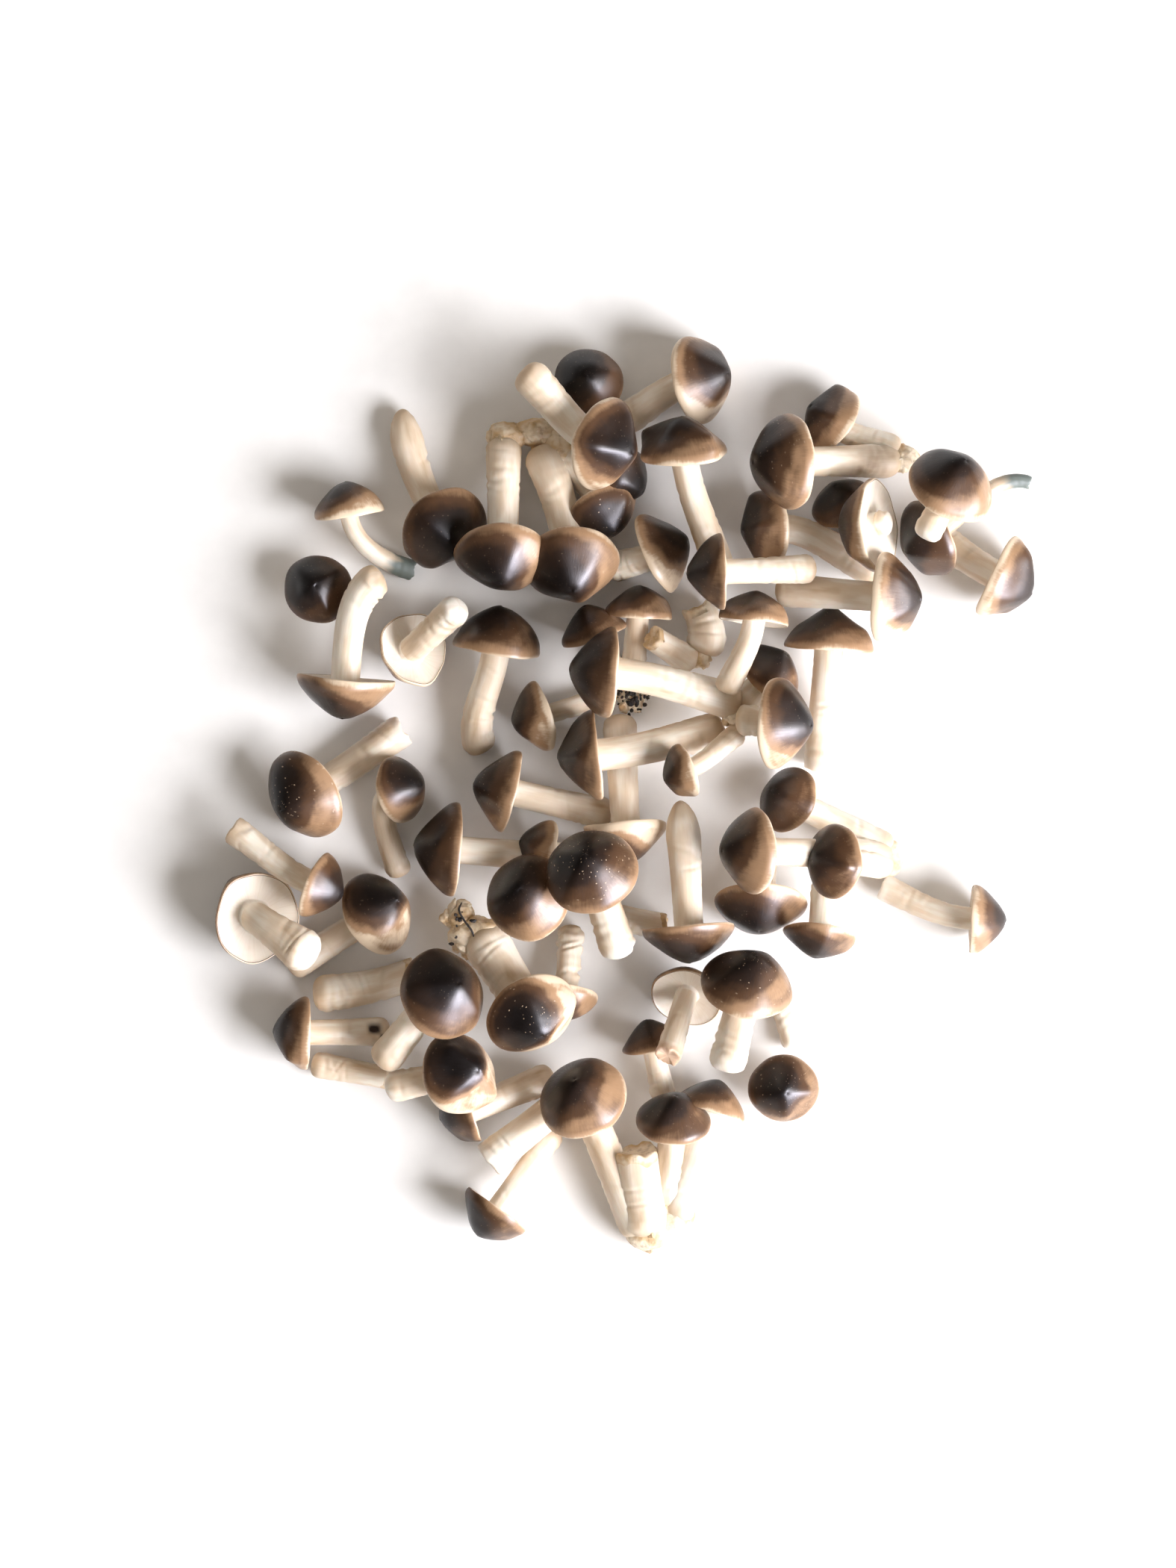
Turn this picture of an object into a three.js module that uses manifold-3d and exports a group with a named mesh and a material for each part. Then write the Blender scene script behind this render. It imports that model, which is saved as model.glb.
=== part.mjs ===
// A heap of small fresh mushrooms, as picked: brown pointed caps on stout cream stems.
// Some mushrooms lie single, some still grow together from one torn base, and a few stems are broken off.
// Sizes are in millimetres and +Z is up. The heap lies on the floor, z = 0.

import * as THREE from "three";
import Module from "manifold-3d";

const wasm = await Module();
wasm.setup();

const RADIANS = Math.PI / 180;

// One mushroom. Shares of the cap's width or of the stem's half width.
const SIDES = 12;
const CAP_HEIGHT = 0.45; // cap height over cap width
const CAP_HOLLOW = 0.14; // how far the stem meets the cap above its rim, over the cap's height
const CAP_PROFILE = [
  [1.0, 0.0],
  [0.95, 0.25],
  [0.64, 0.64],
  [0.22, 0.93],
]; // radius over the rim's radius, and height over the cap's height, from the rim to the point
const CAP_DROOP = -9; // degrees by which a cap on its side hangs down from its stem's line
const FOOT_BULGE = 0.12; // how far the foot's end bulges, over the stem's half width
const FOOT_EDGE = [0.1, 0.68]; // where the foot's edge stands and its radius, over the stem's half width
const HEEL_AT = 0.7; // where the thick of the foot stands, over the stem's half width
const HEEL = 1.08; // radius of the thick of the foot over the stem's half width
const NECK = 0.92; // radius under the cap over the stem's half width
const TORN_END = [0.2, 0.74]; // a broken stem's thin edge: how far back and its radius, over the half width
const STEM_STEPS = [0.36, 0.7]; // where the rings between foot and cap stand, as a share of the stem
const HANDLE = 0.36; // how far the stem runs straight from each end before it curves

// A knob of torn flesh.
const LUMP_SIDES = 8;
const LUMP_LEVELS = [-0.66, 0, 0.66]; // heights of its rings over half its height
const LUMP_BUMPS = [0.84, 1.16]; // how far its surface dips and bulges
const LUMP_SEED = 11;

// How the heap is piled.
const CELL = 1.0; // side of one cell of the height map
const REACH = 220; // the height map's half width
const MAP_SIDE = 2 * REACH + 1;
const SKIN = 0.45; // half of the gap kept between neighbours
const SINK = 0.3; // how deep the lowest points are pressed flat on the floor
const RISE_STEP = 1.5; // step in degrees between the slopes that are tried
const RISE_COST = 0.08; // what a degree away from the wanted slope costs, in mm of height
const SLIDE = 5; // how far a single piece may slide sideways
const CLUMP_SLIDE = 1; // how far a clump may
const SLIDE_COST = 1.2; // what a millimetre of sliding costs, in mm of height
const HUB_STEP = 0.5; // step between the heights that are tried for a clump's base
const HUB_PLAY = 20; // how far above its lowest place a clump's base may lie
const HUB_FREE = 34; // members of one clump may cross within this distance of their feet
const CLUMP_RISES = [-10, 34]; // lowest and highest slope of a clump's members

const BROWN = { color: 0x6a4f3d, roughness: 0.38, metalness: 0 };
const CREAM = { color: 0xe2d3bd, roughness: 0.6, metalness: 0 };

// ---- shapes ----

function heading(angle, rise) {
  const flat = Math.cos(rise * RADIANS);
  return new THREE.Vector3(
    flat * Math.cos(angle),
    flat * Math.sin(angle),
    Math.sin(rise * RADIANS),
  );
}

// The two directions across a line that points along `way`: to its left, and upwards.
function across(way) {
  const left = new THREE.Vector3(-way.y, way.x, 0);
  if (left.lengthSq() < 1e-8) {
    left.set(0, 1, 0);
  }
  left.normalize();
  return [left, new THREE.Vector3().crossVectors(way, left)];
}

// A closed surface through rings of points, with a pole at each end.
function ringSurface(rings, firstPole, lastPole) {
  const points = [firstPole, lastPole, ...rings.flat()];
  const sides = rings[0].length;
  const faces = [];
  const at = (ring, side) => 2 + ring * sides + (side % sides);
  for (let side = 0; side < sides; side += 1) {
    faces.push([0, at(0, side + 1), at(0, side)]);
    for (let ring = 0; ring + 1 < rings.length; ring += 1) {
      faces.push([at(ring, side), at(ring, side + 1), at(ring + 1, side + 1)]);
      faces.push([at(ring, side), at(ring + 1, side + 1), at(ring + 1, side)]);
    }
    faces.push([1, at(rings.length - 1, side), at(rings.length - 1, side + 1)]);
  }
  return { points, faces };
}

function circle(centre, way, radius) {
  const [left, up] = across(way);
  return Array.from({ length: SIDES }, (_, side) => {
    const turn = (2 * Math.PI * side) / SIDES;
    return centre
      .clone()
      .addScaledVector(left, radius * Math.cos(turn))
      .addScaledVector(up, radius * Math.sin(turn));
  });
}

// The stem's middle line from its foot to `end`, leaving the foot along `start` and arriving along `way`.
function stemLine(end, start, way) {
  const handle = HANDLE * end.length();
  return new THREE.CubicBezierCurve3(
    new THREE.Vector3(),
    start.clone().multiplyScalar(handle),
    end.clone().addScaledVector(way, -handle),
    end,
  );
}

function stemRings(line, half, heel, grow) {
  const length = line.getLength();
  const stops = [
    [(FOOT_EDGE[0] * half) / length, FOOT_EDGE[1]],
    [(HEEL_AT * half) / length, heel],
    ...STEM_STEPS.map((share) => [share, THREE.MathUtils.lerp((1 + heel) / 2, NECK, share)]),
  ];
  return stops.map(([share, radius]) => {
    return circle(line.getPointAt(share), line.getTangentAt(share), radius * half + grow);
  });
}

// A mushroom with its foot at the origin. `grow` thickens it all over, for testing the room it needs.
function mushroomShape(kind, grow = 0) {
  const chord = new THREE.Vector2(kind.cap[0] - kind.foot[0], kind.cap[1] - kind.foot[1]);
  const angle = kind.angle === undefined ? chord.angle() : kind.angle * RADIANS;
  const rise = kind.rise;
  const reach = kind.length === undefined ? chord.length() / Math.cos(rise * RADIANS) : kind.length;
  const way = heading(angle + (kind.turn ?? 0) * RADIANS, rise + (kind.lift ?? 0));
  const start = heading(angle + (kind.kick ?? 0) * RADIANS, rise - (kind.dip ?? 0));
  const middle = heading(angle, rise).multiplyScalar(reach);
  const half = kind.stem / 2;
  const rim = kind.width / 2;
  const height = CAP_HEIGHT * (kind.tall ?? 1) * kind.width;
  const base = middle.clone().addScaledVector(way, -height / 2);
  const line = stemLine(base, start, way);
  const rings = stemRings(line, half, kind.heel ?? HEEL, grow);
  const seat = kind.flat ? 0 : FOOT_BULGE * half;
  if (kind.flat) {
    rings[0] = circle(new THREE.Vector3(0, 0, -grow), start, half + grow);
  }
  rings.push(circle(base.clone().addScaledVector(way, CAP_HOLLOW * height), way, NECK * half + grow));
  for (const [radius, up] of CAP_PROFILE) {
    const centre = base.clone().addScaledVector(way, up * height);
    rings.push(circle(centre, way, radius * rim + grow));
  }
  const foot = start.clone().multiplyScalar(-seat - grow);
  const point = base.clone().addScaledVector(way, height + grow);
  return ringSurface(rings, foot, point);
}

// A broken stem with its thick end at the origin.
function stemShape(kind, grow = 0) {
  const chord = new THREE.Vector2(kind.end[0] - kind.foot[0], kind.end[1] - kind.foot[1]);
  const angle = chord.angle();
  const way = heading(angle + (kind.turn ?? 0) * RADIANS, kind.rise);
  const start = heading(angle + (kind.kick ?? 0) * RADIANS, kind.rise);
  const reach = chord.length() / Math.cos(kind.rise * RADIANS);
  const end = heading(angle, kind.rise).multiplyScalar(reach);
  const half = kind.stem / 2;
  const line = stemLine(end, start, way);
  const rings = stemRings(line, half, kind.heel ?? HEEL, grow);
  const edge = end.clone().addScaledVector(way, -TORN_END[0] * half);
  rings.push(circle(edge, way, TORN_END[1] * half + grow));
  const foot = start.clone().multiplyScalar(-FOOT_BULGE * half - grow);
  return ringSurface(rings, foot, end.clone().addScaledVector(way, grow));
}


// A knob of torn flesh round the origin, as wide, deep and high as `size` says.
function lumpShape(size, seed) {
  THREE.MathUtils.seededRandom(seed);
  const rings = LUMP_LEVELS.map((level) => {
    const wide = Math.sqrt(1 - level * level);
    return Array.from({ length: LUMP_SIDES }, (_, side) => {
      const turn = (2 * Math.PI * side) / LUMP_SIDES;
      const bump = wide * THREE.MathUtils.lerp(...LUMP_BUMPS, THREE.MathUtils.seededRandom());
      return new THREE.Vector3(
        (size[0] / 2) * bump * Math.cos(turn),
        (size[1] / 2) * bump * Math.sin(turn),
        (size[2] / 2) * level,
      );
    });
  });
  return ringSurface(rings, new THREE.Vector3(0, 0, -size[2] / 2), new THREE.Vector3(0, 0, size[2] / 2));
}

function moved(shape, x, y, z) {
  const shift = new THREE.Vector3(x, y, z);
  return { points: shape.points.map((point) => point.clone().add(shift)), faces: shape.faces };
}

// ---- the pile ----

// Calls visit(cell, z) for each cell of the height map that a face covers.
function overCells(shape, visit) {
  for (const face of shape.faces) {
    const [p, q, r] = face.map((index) => shape.points[index]);
    const area = (q.x - p.x) * (r.y - p.y) - (r.x - p.x) * (q.y - p.y);
    if (Math.abs(area) < 1e-9) {
      continue;
    }
    const lastX = Math.floor(Math.max(p.x, q.x, r.x) / CELL);
    const lastY = Math.floor(Math.max(p.y, q.y, r.y) / CELL);
    for (let i = Math.ceil(Math.min(p.x, q.x, r.x) / CELL); i <= lastX; i += 1) {
      for (let j = Math.ceil(Math.min(p.y, q.y, r.y) / CELL); j <= lastY; j += 1) {
        const x = i * CELL;
        const y = j * CELL;
        const u = ((q.x - x) * (r.y - y) - (r.x - x) * (q.y - y)) / area;
        const v = ((r.x - x) * (p.y - y) - (p.x - x) * (r.y - y)) / area;
        if (u >= 0 && v >= 0 && u + v <= 1) {
          visit(i, j, u * p.z + v * q.z + (1 - u - v) * r.z);
        }
      }
    }
  }
}

// The highest surface over each cell of the floor.
class HeightMap {
  constructor(level) {
    this.heights = new Float32Array(MAP_SIDE * MAP_SIDE).fill(level);
  }

  // A surface is written one cell wider than it is, so that what is put beside it stays clear.
  add(shape) {
    overCells(shape, (i, j, z) => {
      for (let di = -1; di <= 1; di += 1) {
        for (let dj = -1; dj <= 1; dj += 1) {
          const cell = cellAt(i + di, j + dj);
          this.heights[cell] = Math.max(this.heights[cell], z);
        }
      }
    });
  }

  // How far a shape has to be lifted, once it has moved sideways, to rest on what lies there.
  lift(underside, shift = 0) {
    let lift = -Infinity;
    for (let k = 0; k < underside.cells.length; k += 1) {
      lift = Math.max(lift, this.heights[underside.cells[k] + shift] - underside.lows[k]);
    }
    return lift;
  }
}

function cellAt(i, j) {
  return (i + REACH) * MAP_SIDE + j + REACH;
}

// The lowest height of a shape over each cell that it covers.
function undersideOf(shape, skip = () => false) {
  const lows = new Map();
  overCells(shape, (i, j, z) => {
    const cell = cellAt(i, j);
    if (!skip(i * CELL, j * CELL) && !(lows.get(cell) <= z)) {
      lows.set(cell, z);
    }
  });
  return { cells: [...lows.keys()], lows: [...lows.values()] };
}

// The ways in which a piece may slide sideways as it settles.
function nudgesWithin(reach) {
  const nudges = [];
  for (let i = -reach; i <= reach; i += 1) {
    for (let j = -reach; j <= reach; j += 1) {
      const far = Math.hypot(i, j) * CELL;
      if (far <= reach * CELL) {
        nudges.push({ x: i * CELL, y: j * CELL, shift: i * MAP_SIDE + j, cost: SLIDE_COST * far });
      }
    }
  }
  return nudges;
}

const heap = new HeightMap(-SKIN - SINK);

function middleHeight(shape) {
  return shape.points.reduce((sum, point) => sum + point.z, 0) / shape.points.length;
}

// Lets a mushroom or a stem down on the heap at the slope where its middle lies lowest.
function settle(kind, shapeOf) {
  const play = kind.play ?? 15;
  let best = { cost: Infinity };
  for (let rise = kind.rise - play; rise <= kind.rise + play; rise += RISE_STEP) {
    const tried = { ...kind, rise };
    const room = moved(shapeOf(tried, SKIN), kind.foot[0], kind.foot[1], 0);
    const underside = undersideOf(room);
    const height = middleHeight(room) + RISE_COST * Math.abs(rise - kind.rise);
    for (const nudge of nudgesWithin(kind.slide ?? SLIDE)) {
      const lift = heap.lift(underside, nudge.shift);
      const cost = lift + height + nudge.cost;
      if (cost < best.cost) {
        best = { cost, lift, tried, room, nudge };
      }
    }
  }
  const { nudge, lift } = best;
  heap.add(moved(best.room, nudge.x, nudge.y, lift));
  return moved(shapeOf(best.tried), kind.foot[0] + nudge.x, kind.foot[1] + nudge.y, lift);
}

function shapeOfMember(member) {
  return member.end ? stemShape : mushroomShape;
}

// The slopes at which a member of a clump may stand out from its base, with the room it needs at each.
function swingsOf(member) {
  const swings = [];
  const [lowest, highest] = member.rises ?? CLUMP_RISES;
  for (let rise = lowest; rise <= highest; rise += RISE_STEP) {
    const tried = { ...member, rise };
    const room = moved(shapeOfMember(member)(tried, SKIN), member.foot[0], member.foot[1], 0);
    swings.push({ tried, room, underside: undersideOf(room), height: middleHeight(room) });
  }
  return swings;
}

// Finds where a clump lies lowest: its base's height, and for each member the lowest slope that is clear.
function settleClump(lumps, members) {
  const knobs = lumps.map((lump, index) => moved(lumpShape(lump.size, LUMP_SEED + index), ...lump.at, 0));
  const seats = knobs.map((knob) => undersideOf(knob));
  const swings = members.map(swingsOf);
  let best = { cost: Infinity };
  for (const nudge of nudgesWithin(CLUMP_SLIDE)) {
    const seat = Math.max(...seats.map((underside) => heap.lift(underside, nudge.shift)));
    const lifts = swings.map((list) => list.map((swing) => heap.lift(swing.underside, nudge.shift)));
    const needed = Math.max(seat, ...lifts.map((list) => Math.min(...list)));
    for (let level = needed; level < needed + HUB_PLAY; level += HUB_STEP) {
      const picks = lifts.map((list) => list.findIndex((lift) => lift <= level));
      const heights = picks.map((pick, index) => swings[index][pick].height);
      const middle = heights.reduce((sum, height) => sum + height, 0) / heights.length;
      const cost = level + middle + nudge.cost;
      if (cost < best.cost) {
        best = { cost, level, nudge, picks, lifts };
      }
    }
  }
  const own = new HeightMap(-Infinity);
  const shapes = members.map((member, index) => {
    const swing = clearOfSiblings(member, swings[index], best, index, own);
    const { x, y } = best.nudge;
    own.add(moved(swing.room, 0, 0, best.level));
    heap.add(moved(swing.room, x, y, best.level));
    return moved(shapeOfMember(member)(swing.tried), member.foot[0] + x, member.foot[1] + y, best.level);
  });
  const bases = knobs.map((knob) => moved(knob, best.nudge.x, best.nudge.y, best.level));
  bases.forEach((knob) => heap.add(knob));
  return [...shapes, ...bases];
}

// A member lies over the others of its clump where a small swing clears them, and else grows into them.
function clearOfSiblings(member, swings, best, index, own) {
  const nearFoot = (x, y) => Math.hypot(x - member.foot[0], y - member.foot[1]) < HUB_FREE;
  const clear = swings.find((swing, pick) => {
    const open = pick >= best.picks[index] && best.lifts[index][pick] <= best.level;
    return open && own.lift(undersideOf(moved(swing.room, 0, 0, best.level), nearFoot)) <= 0;
  });
  return clear ?? swings[best.picks[index]];
}

// ---- meshes ----

const group = new THREE.Group();

// What lies lowest is pressed flat on the floor.
function pressed(shape) {
  shape.points.forEach((point) => {
    point.z = Math.max(point.z, 0);
  });
  return shape;
}

function addMesh(name, vertices, triangles, finish) {
  const geometry = new THREE.BufferGeometry();
  geometry.setAttribute("position", new THREE.Float32BufferAttribute(vertices, 3));
  geometry.setIndex(triangles);
  geometry.computeVertexNormals();
  const mesh = new THREE.Mesh(geometry, new THREE.MeshStandardMaterial(finish));
  mesh.name = name;
  group.add(mesh);
}

function mushroom(name, cap, foot, width, stem, more = {}) {
  const kind = { cap, foot, width, stem, rise: 10, lift: CAP_DROOP, ...more };
  const shape = pressed(settle(kind, mushroomShape));
  addMesh(name, shape.points.flatMap((point) => point.toArray()), shape.faces.flat(), BROWN);
}

function brokenStem(name, end, foot, stem, more = {}) {
  const kind = { end, foot, stem, rise: 0, ...more };
  const shape = pressed(settle(kind, stemShape));
  addMesh(name, shape.points.flatMap((point) => point.toArray()), shape.faces.flat(), CREAM);
}

function solidOf(shape) {
  const vertProperties = new Float32Array(shape.points.flatMap((point) => point.toArray()));
  const triVerts = new Uint32Array(shape.faces.flat());
  return new wasm.Manifold(new wasm.Mesh({ numProp: 3, vertProperties, triVerts }));
}

function clump(name, lumps, members, finish = BROWN) {
  const shapes = settleClump(lumps, members).map(pressed);
  const whole = shapes.map(solidOf).reduce((sum, solid) => sum.add(solid));
  const mesh = whole.getMesh();
  addMesh(name, Array.from(mesh.vertProperties), Array.from(mesh.triVerts), finish);
}

function grown(cap, foot, width, stem, more = {}) {
  return { cap, foot, width, stem, lift: CAP_DROOP, ...more };
}

// ---- the heap, from the lowest to the highest in each part ----

// Left side
mushroom("mushroom_left_1", [-111, 118], [-85, 89], 29, 8, { turn: -35, kick: 32 });
mushroom("mushroom_left_2", [-123, 82], [-123, 82], 28, 12, {
  angle: 120, length: 19, rise: 90, lift: -8, play: 0, flat: true,
});
mushroom("mushroom_left_3", [-112, 37], [-97, 86], 40, 13, { turn: 12, kick: -50, lift: 2, tall: 0.9 });
mushroom("mushroom_left_4", [-69, 102], [-89, 153], 37, 12.5, { turn: 15, kick: -18, lift: 30 });
mushroom("mushroom_left_5", [-50, 66], [-57, 17], 36, 12.5, { kick: 40, tall: 1.1 });
mushroom("mushroom_left_6", [-83, 53], [-62, 72], 30, 12, { rise: -46, play: 8, lift: -18 });
mushroom("mushroom_left_7", [-132, -4], [-89, 25], 37, 13, { lift: 30 });
mushroom("mushroom_left_8", [-87, 4], [-91, -31], 28, 9.5, { turn: -74, kick: 24, lift: 10 });
mushroom("mushroom_left_9", [-39, 29], [-11, 37], 29, 8.5);
mushroom("mushroom_left_10", [-53, 2], [-6, -9], 35, 12);
clump("clump_left", [{ at: [-18, -26], size: [13, 13, 10] }], [
  grown([-37, -20], [-18, -26], 24, 9),
  grown([-76, -21], [-18, -26], 38, 12),
]);
mushroom("mushroom_left_11", [-94, -45], [-133, -69], 34, 12, { lift: 28 });
mushroom("mushroom_left_12", [-149, -49], [-124, -66], 37, 14, { rise: -42, play: 10, lift: -28, heel: 1.3 });
mushroom("mushroom_left_13", [-117, -43], [-155, -19], 28, 11, { lift: 2, turn: 10 });
brokenStem("stem_left_1", [-81, -71], [-124, -81], 14, { kick: -10, turn: 10 });
mushroom("mushroom_left_14", [-134, -96], [-95, -96], 30, 11);
brokenStem("stem_left_2", [-96, -113], [-129, -107], 10);
mushroom("mushroom_left_15", [-68, -129], [-29, -114], 28, 12);
mushroom("mushroom_left_16", [-62, -111], [-94, -118], 34, 12, { lift: 28 });
mushroom("mushroom_left_17", [-24, -86], [-21, -54], 26, 10, { lift: 2 });
clump("clump_middle", [
  { at: [-66, -50], size: [14, 14, 13] },
  { at: [-59, -57], size: [24, 20, 18] },
], [
  grown([-35, -92], [-57, -57], 37, 18, { lift: 22 }),
]);
mushroom("mushroom_left_18", [-69, -83], [-97, -113], 37, 13, { lift: 36, turn: -15 });

// Middle
brokenStem("stem_middle_1", [19, -54], [-7, -50], 11);
mushroom("mushroom_middle_1", [1, -18], [-2, 33], 34, 13);
mushroom("mushroom_middle_2", [-39, -42], [-35, -45], 35, 13, {
  angle: 135, length: 20, rise: 62, play: 12, lift: 0,
});
mushroom("mushroom_middle_3", [-14, -28], [-2, -64], 37, 14, { lift: 30, rise: 16 });

// Top
mushroom("mushroom_top_1", [19, 98], [-6, 90], 34, 12, { turn: 5, slide: 2 });
clump("clump_top", [
  { at: [-46, 142], size: [18, 14, 13] },
  { at: [-35, 144], size: [20, 13, 13] },
  { at: [-25, 138], size: [20, 20, 14] },
], [
  grown([-48, 89], [-47, 141], 37, 13.5, { lift: 18 }),
  grown([4, 123], [-22, 140], 26, 10, { lift: 12 }),
  grown([-5, 109], [-23, 138], 30, 11, { lift: 24 }),
  grown([-20, 86], [-33, 137], 39, 14.5, { lift: 26, turn: -10, kick: 10 }),
]);
mushroom("mushroom_top_2", [-15, 167], [-14, 162], 28, 12, {
  angle: 100, length: 18, rise: 80, play: 6, lift: 0,
});
mushroom("mushroom_top_3", [35, 166], [-1, 149], 36, 12.5, { turn: -16, lift: 12, slide: 1 });
mushroom("mushroom_top_4", [23, 143], [38, 90], 36, 12, { turn: -10, lift: 4, slide: 1 });
mushroom("mushroom_top_5", [-2, 136], [-39, 167], 37, 14, { lift: 30, turn: 20, slide: 1 });

// Middle, over the stems that come down from the top
clump("clump_small", [{ at: [3, 39], size: [14, 16, 10] }], [
  grown([6, 77], [3, 43], 27, 10),
  grown([-14, 69], [0, 44], 28, 9.5, { turn: -10 }),
]);
clump("clump_stems", [{ at: [29, 54], size: [13, 11, 9] }], [
  { end: [27, 77], foot: [32, 56], stem: 15, turn: 30, kick: -30 },
  { end: [9, 63], foot: [27, 52], stem: 11 },
], CREAM);
mushroom("mushroom_middle_4", [-19, 14], [39, 25], 36, 14, { turn: -5 });
clump("clump_centre", [{ at: [46, 31], size: [14, 14, 13] }], [
  grown([-14, 48], [45, 36], 37, 14, { turn: 8 }),
  grown([20, 7], [46, 24], 23, 8.5, { turn: -12 }),
  grown([61, 51], [46, 34], 29, 11, { lift: 40 }),
]);
mushroom("mushroom_middle_5", [52, 74], [40, 40], 28, 10, { turn: 12, lift: 2 });
mushroom("mushroom_middle_6", [82, 67], [79, 11], 36, 13);
mushroom("mushroom_middle_7", [67, 27], [45, 29], 36, 12, { lift: 8 });

// Right side
clump("clump_right_low", [{ at: [101, 89], size: [14, 14, 12] }], [
  grown([53, 105], [101, 89], 31, 12.5, { turn: 24, lift: 8 }),
  grown([86, 119], [101, 89], 26, 10, { lift: 30 }),
]);
mushroom("mushroom_right_1", [156, 83], [123, 104], 36, 13, { turn: 5 });
clump("clump_right_high", [{ at: [111, 134], size: [16, 13, 12] }], [
  grown([79, 151], [109, 137], 30, 10.5, { turn: -12, lift: 12 }),
  grown([58, 131], [108, 133], 39, 13, { lift: -6 }),
]);
mushroom("mushroom_right_2", [117, 99], [162, 124], 32, 8, { lift: 12, kick: -50, heel: 0.7 });
mushroom("mushroom_right_3", [95, 106], [107, 107], 37, 10, { rise: -32, play: 6, lift: 0, slide: 2 });
mushroom("mushroom_right_4", [132, 126], [119, 101], 37, 11, { rise: 22, lift: 34, slide: 2 });
mushroom("mushroom_right_5", [109, 77], [61, 81], 36, 13, { slide: 2 });
mushroom("mushroom_right_6", [33, 86], [77, 88], 31, 11);
mushroom("mushroom_right_7", [54, -50], [56, -18], 37, 12, { lift: 2, tall: 0.8, slide: 2 });
mushroom("mushroom_right_8", [72, -61], [75, -36], 30, 10, { tall: 0.8 });
clump("clump_right_side", [{ at: [105, -25], size: [15, 18, 12] }], [
  grown([45, -22], [105, -24], 35, 12),
  grown([62, 0], [106, -22], 28, 11.5, { lift: 30 }),
  grown([79, -26], [105, -28], 30, 11, { lift: -6, rises: [40, 64] }),
]);
mushroom("mushroom_right_9", [145, -48], [103, -35], 28, 10, { turn: 14, kick: -8, tall: 1.1 });

// Lower side
mushroom("mushroom_low_1", [26, -61], [22, -4], 38, 13, { kick: 6, lift: 3, tall: 0.85, slide: 2 });
mushroom("mushroom_low_2", [10, -96], [16, -123], 25, 9.5);
mushroom("mushroom_low_3", [23, -80], [14, -107], 29, 10, { rise: -38, play: 12, lift: -10 });
brokenStem("stem_low_1", [61, -80], [68, -102], 8.5);
mushroom("mushroom_low_4", [50, -69], [40, -108], 38, 14, { rise: 16, lift: 34, slide: 2 });
mushroom("mushroom_low_5", [-55, -172], [-28, -136], 30, 9.5);
brokenStem("stem_low_2", [-27, -127], [-53, -148], 14);
clump("clump_low", [
  { at: [9, -176], size: [21, 17, 15] },
  { at: [20, -169], size: [18, 18, 15] },
], [
  { end: [4, -139], foot: [9, -176], stem: 19, rises: [14, 40] },
  grown([36, -121], [20, -171], 29, 13),
  grown([20, -126], [17, -165], 30, 12, { lift: 12 }),
  grown([-18, -118], [6, -176], 36, 14, { lift: 34 }),
]);
mushroom("mushroom_low_6", [64, -119], [64, -119], 28, 12, {
  angle: -60, length: 19, rise: 90, lift: -8, play: 0, flat: true,
});

// The origin is under the middle of the heap.
const around = new THREE.Box3().setFromObject(group);
const middle = around.getCenter(new THREE.Vector3());
group.position.set(-middle.x, -middle.y, 0);

export default group;
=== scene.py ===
"""A heap of small brown mushrooms, freshly picked: pointed caps on stout cream stems.

Every mushroom is one closed surface of rings: up the stem, out under the cap, round the curled-in rim
and over the cap to its point. The frame's faceted solids give each mushroom's place, slope and size,
and the surfaces here add the round forms, the wavy rims, the wrinkled feet and the torn bases.
"""

import logging
import math
import zlib
from dataclasses import dataclass, field
from enum import Enum, IntEnum

import bpy
import numpy as np
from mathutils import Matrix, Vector


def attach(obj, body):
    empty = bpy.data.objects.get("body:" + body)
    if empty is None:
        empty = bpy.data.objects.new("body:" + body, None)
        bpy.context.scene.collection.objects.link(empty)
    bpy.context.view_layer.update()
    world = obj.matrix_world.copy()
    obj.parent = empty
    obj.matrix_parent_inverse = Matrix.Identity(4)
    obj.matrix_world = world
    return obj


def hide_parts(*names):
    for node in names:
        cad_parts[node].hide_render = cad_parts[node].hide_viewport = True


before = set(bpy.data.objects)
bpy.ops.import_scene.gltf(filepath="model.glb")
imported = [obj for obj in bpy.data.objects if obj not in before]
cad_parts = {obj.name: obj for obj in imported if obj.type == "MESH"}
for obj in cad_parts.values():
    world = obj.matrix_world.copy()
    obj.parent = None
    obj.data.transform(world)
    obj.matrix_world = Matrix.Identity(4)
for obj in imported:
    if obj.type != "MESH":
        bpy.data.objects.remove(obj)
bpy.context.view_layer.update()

MM = 0.001
LOG = logging.getLogger("mushrooms")
Array = np.ndarray
Random = np.random.Generator
Triple = tuple[float, float, float]
Rgb = Triple
Piece = bpy.types.Object
Material = bpy.types.Material
Node = bpy.types.Node
Socket = bpy.types.NodeSocket
Feed = Socket | float | Triple
Feeds = dict[str | int, Feed]

# How the solids of the frame are built.
SIDES = 12  # corners of each ring
CAP_RINGS = 4  # rings of a cap, before those of its stem
CAP_TOP = (0.22, 0.93)  # the ring nearest to a cap's point: radius over the rim's, height over the cap's
CAP_HEIGHT = 0.9  # cap height over the rim's radius
NECK = 0.92  # stem radius under the cap over the stem's half width
HEEL = 1.08  # stem radius at the thick of the foot over the stem's half width
BROKEN_NECK = 0.95  # radius near a broken stem's thin end over the stem's half width
FOOT_STEP = 0.1  # how far the foot lies behind the stem's last ring, over the stem's half width
FOOT_BULGE = 0.12  # how far the foot's end bulges, over the stem's half width
HANDLE = 0.36  # how far a stem runs straight from each end before it curves
ROUND = 0.985  # a smooth ring's radius over that of a ring with flat sides
UNEVEN = 0.05  # how far the radii of a whole round ring may spread, over their mean


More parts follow.
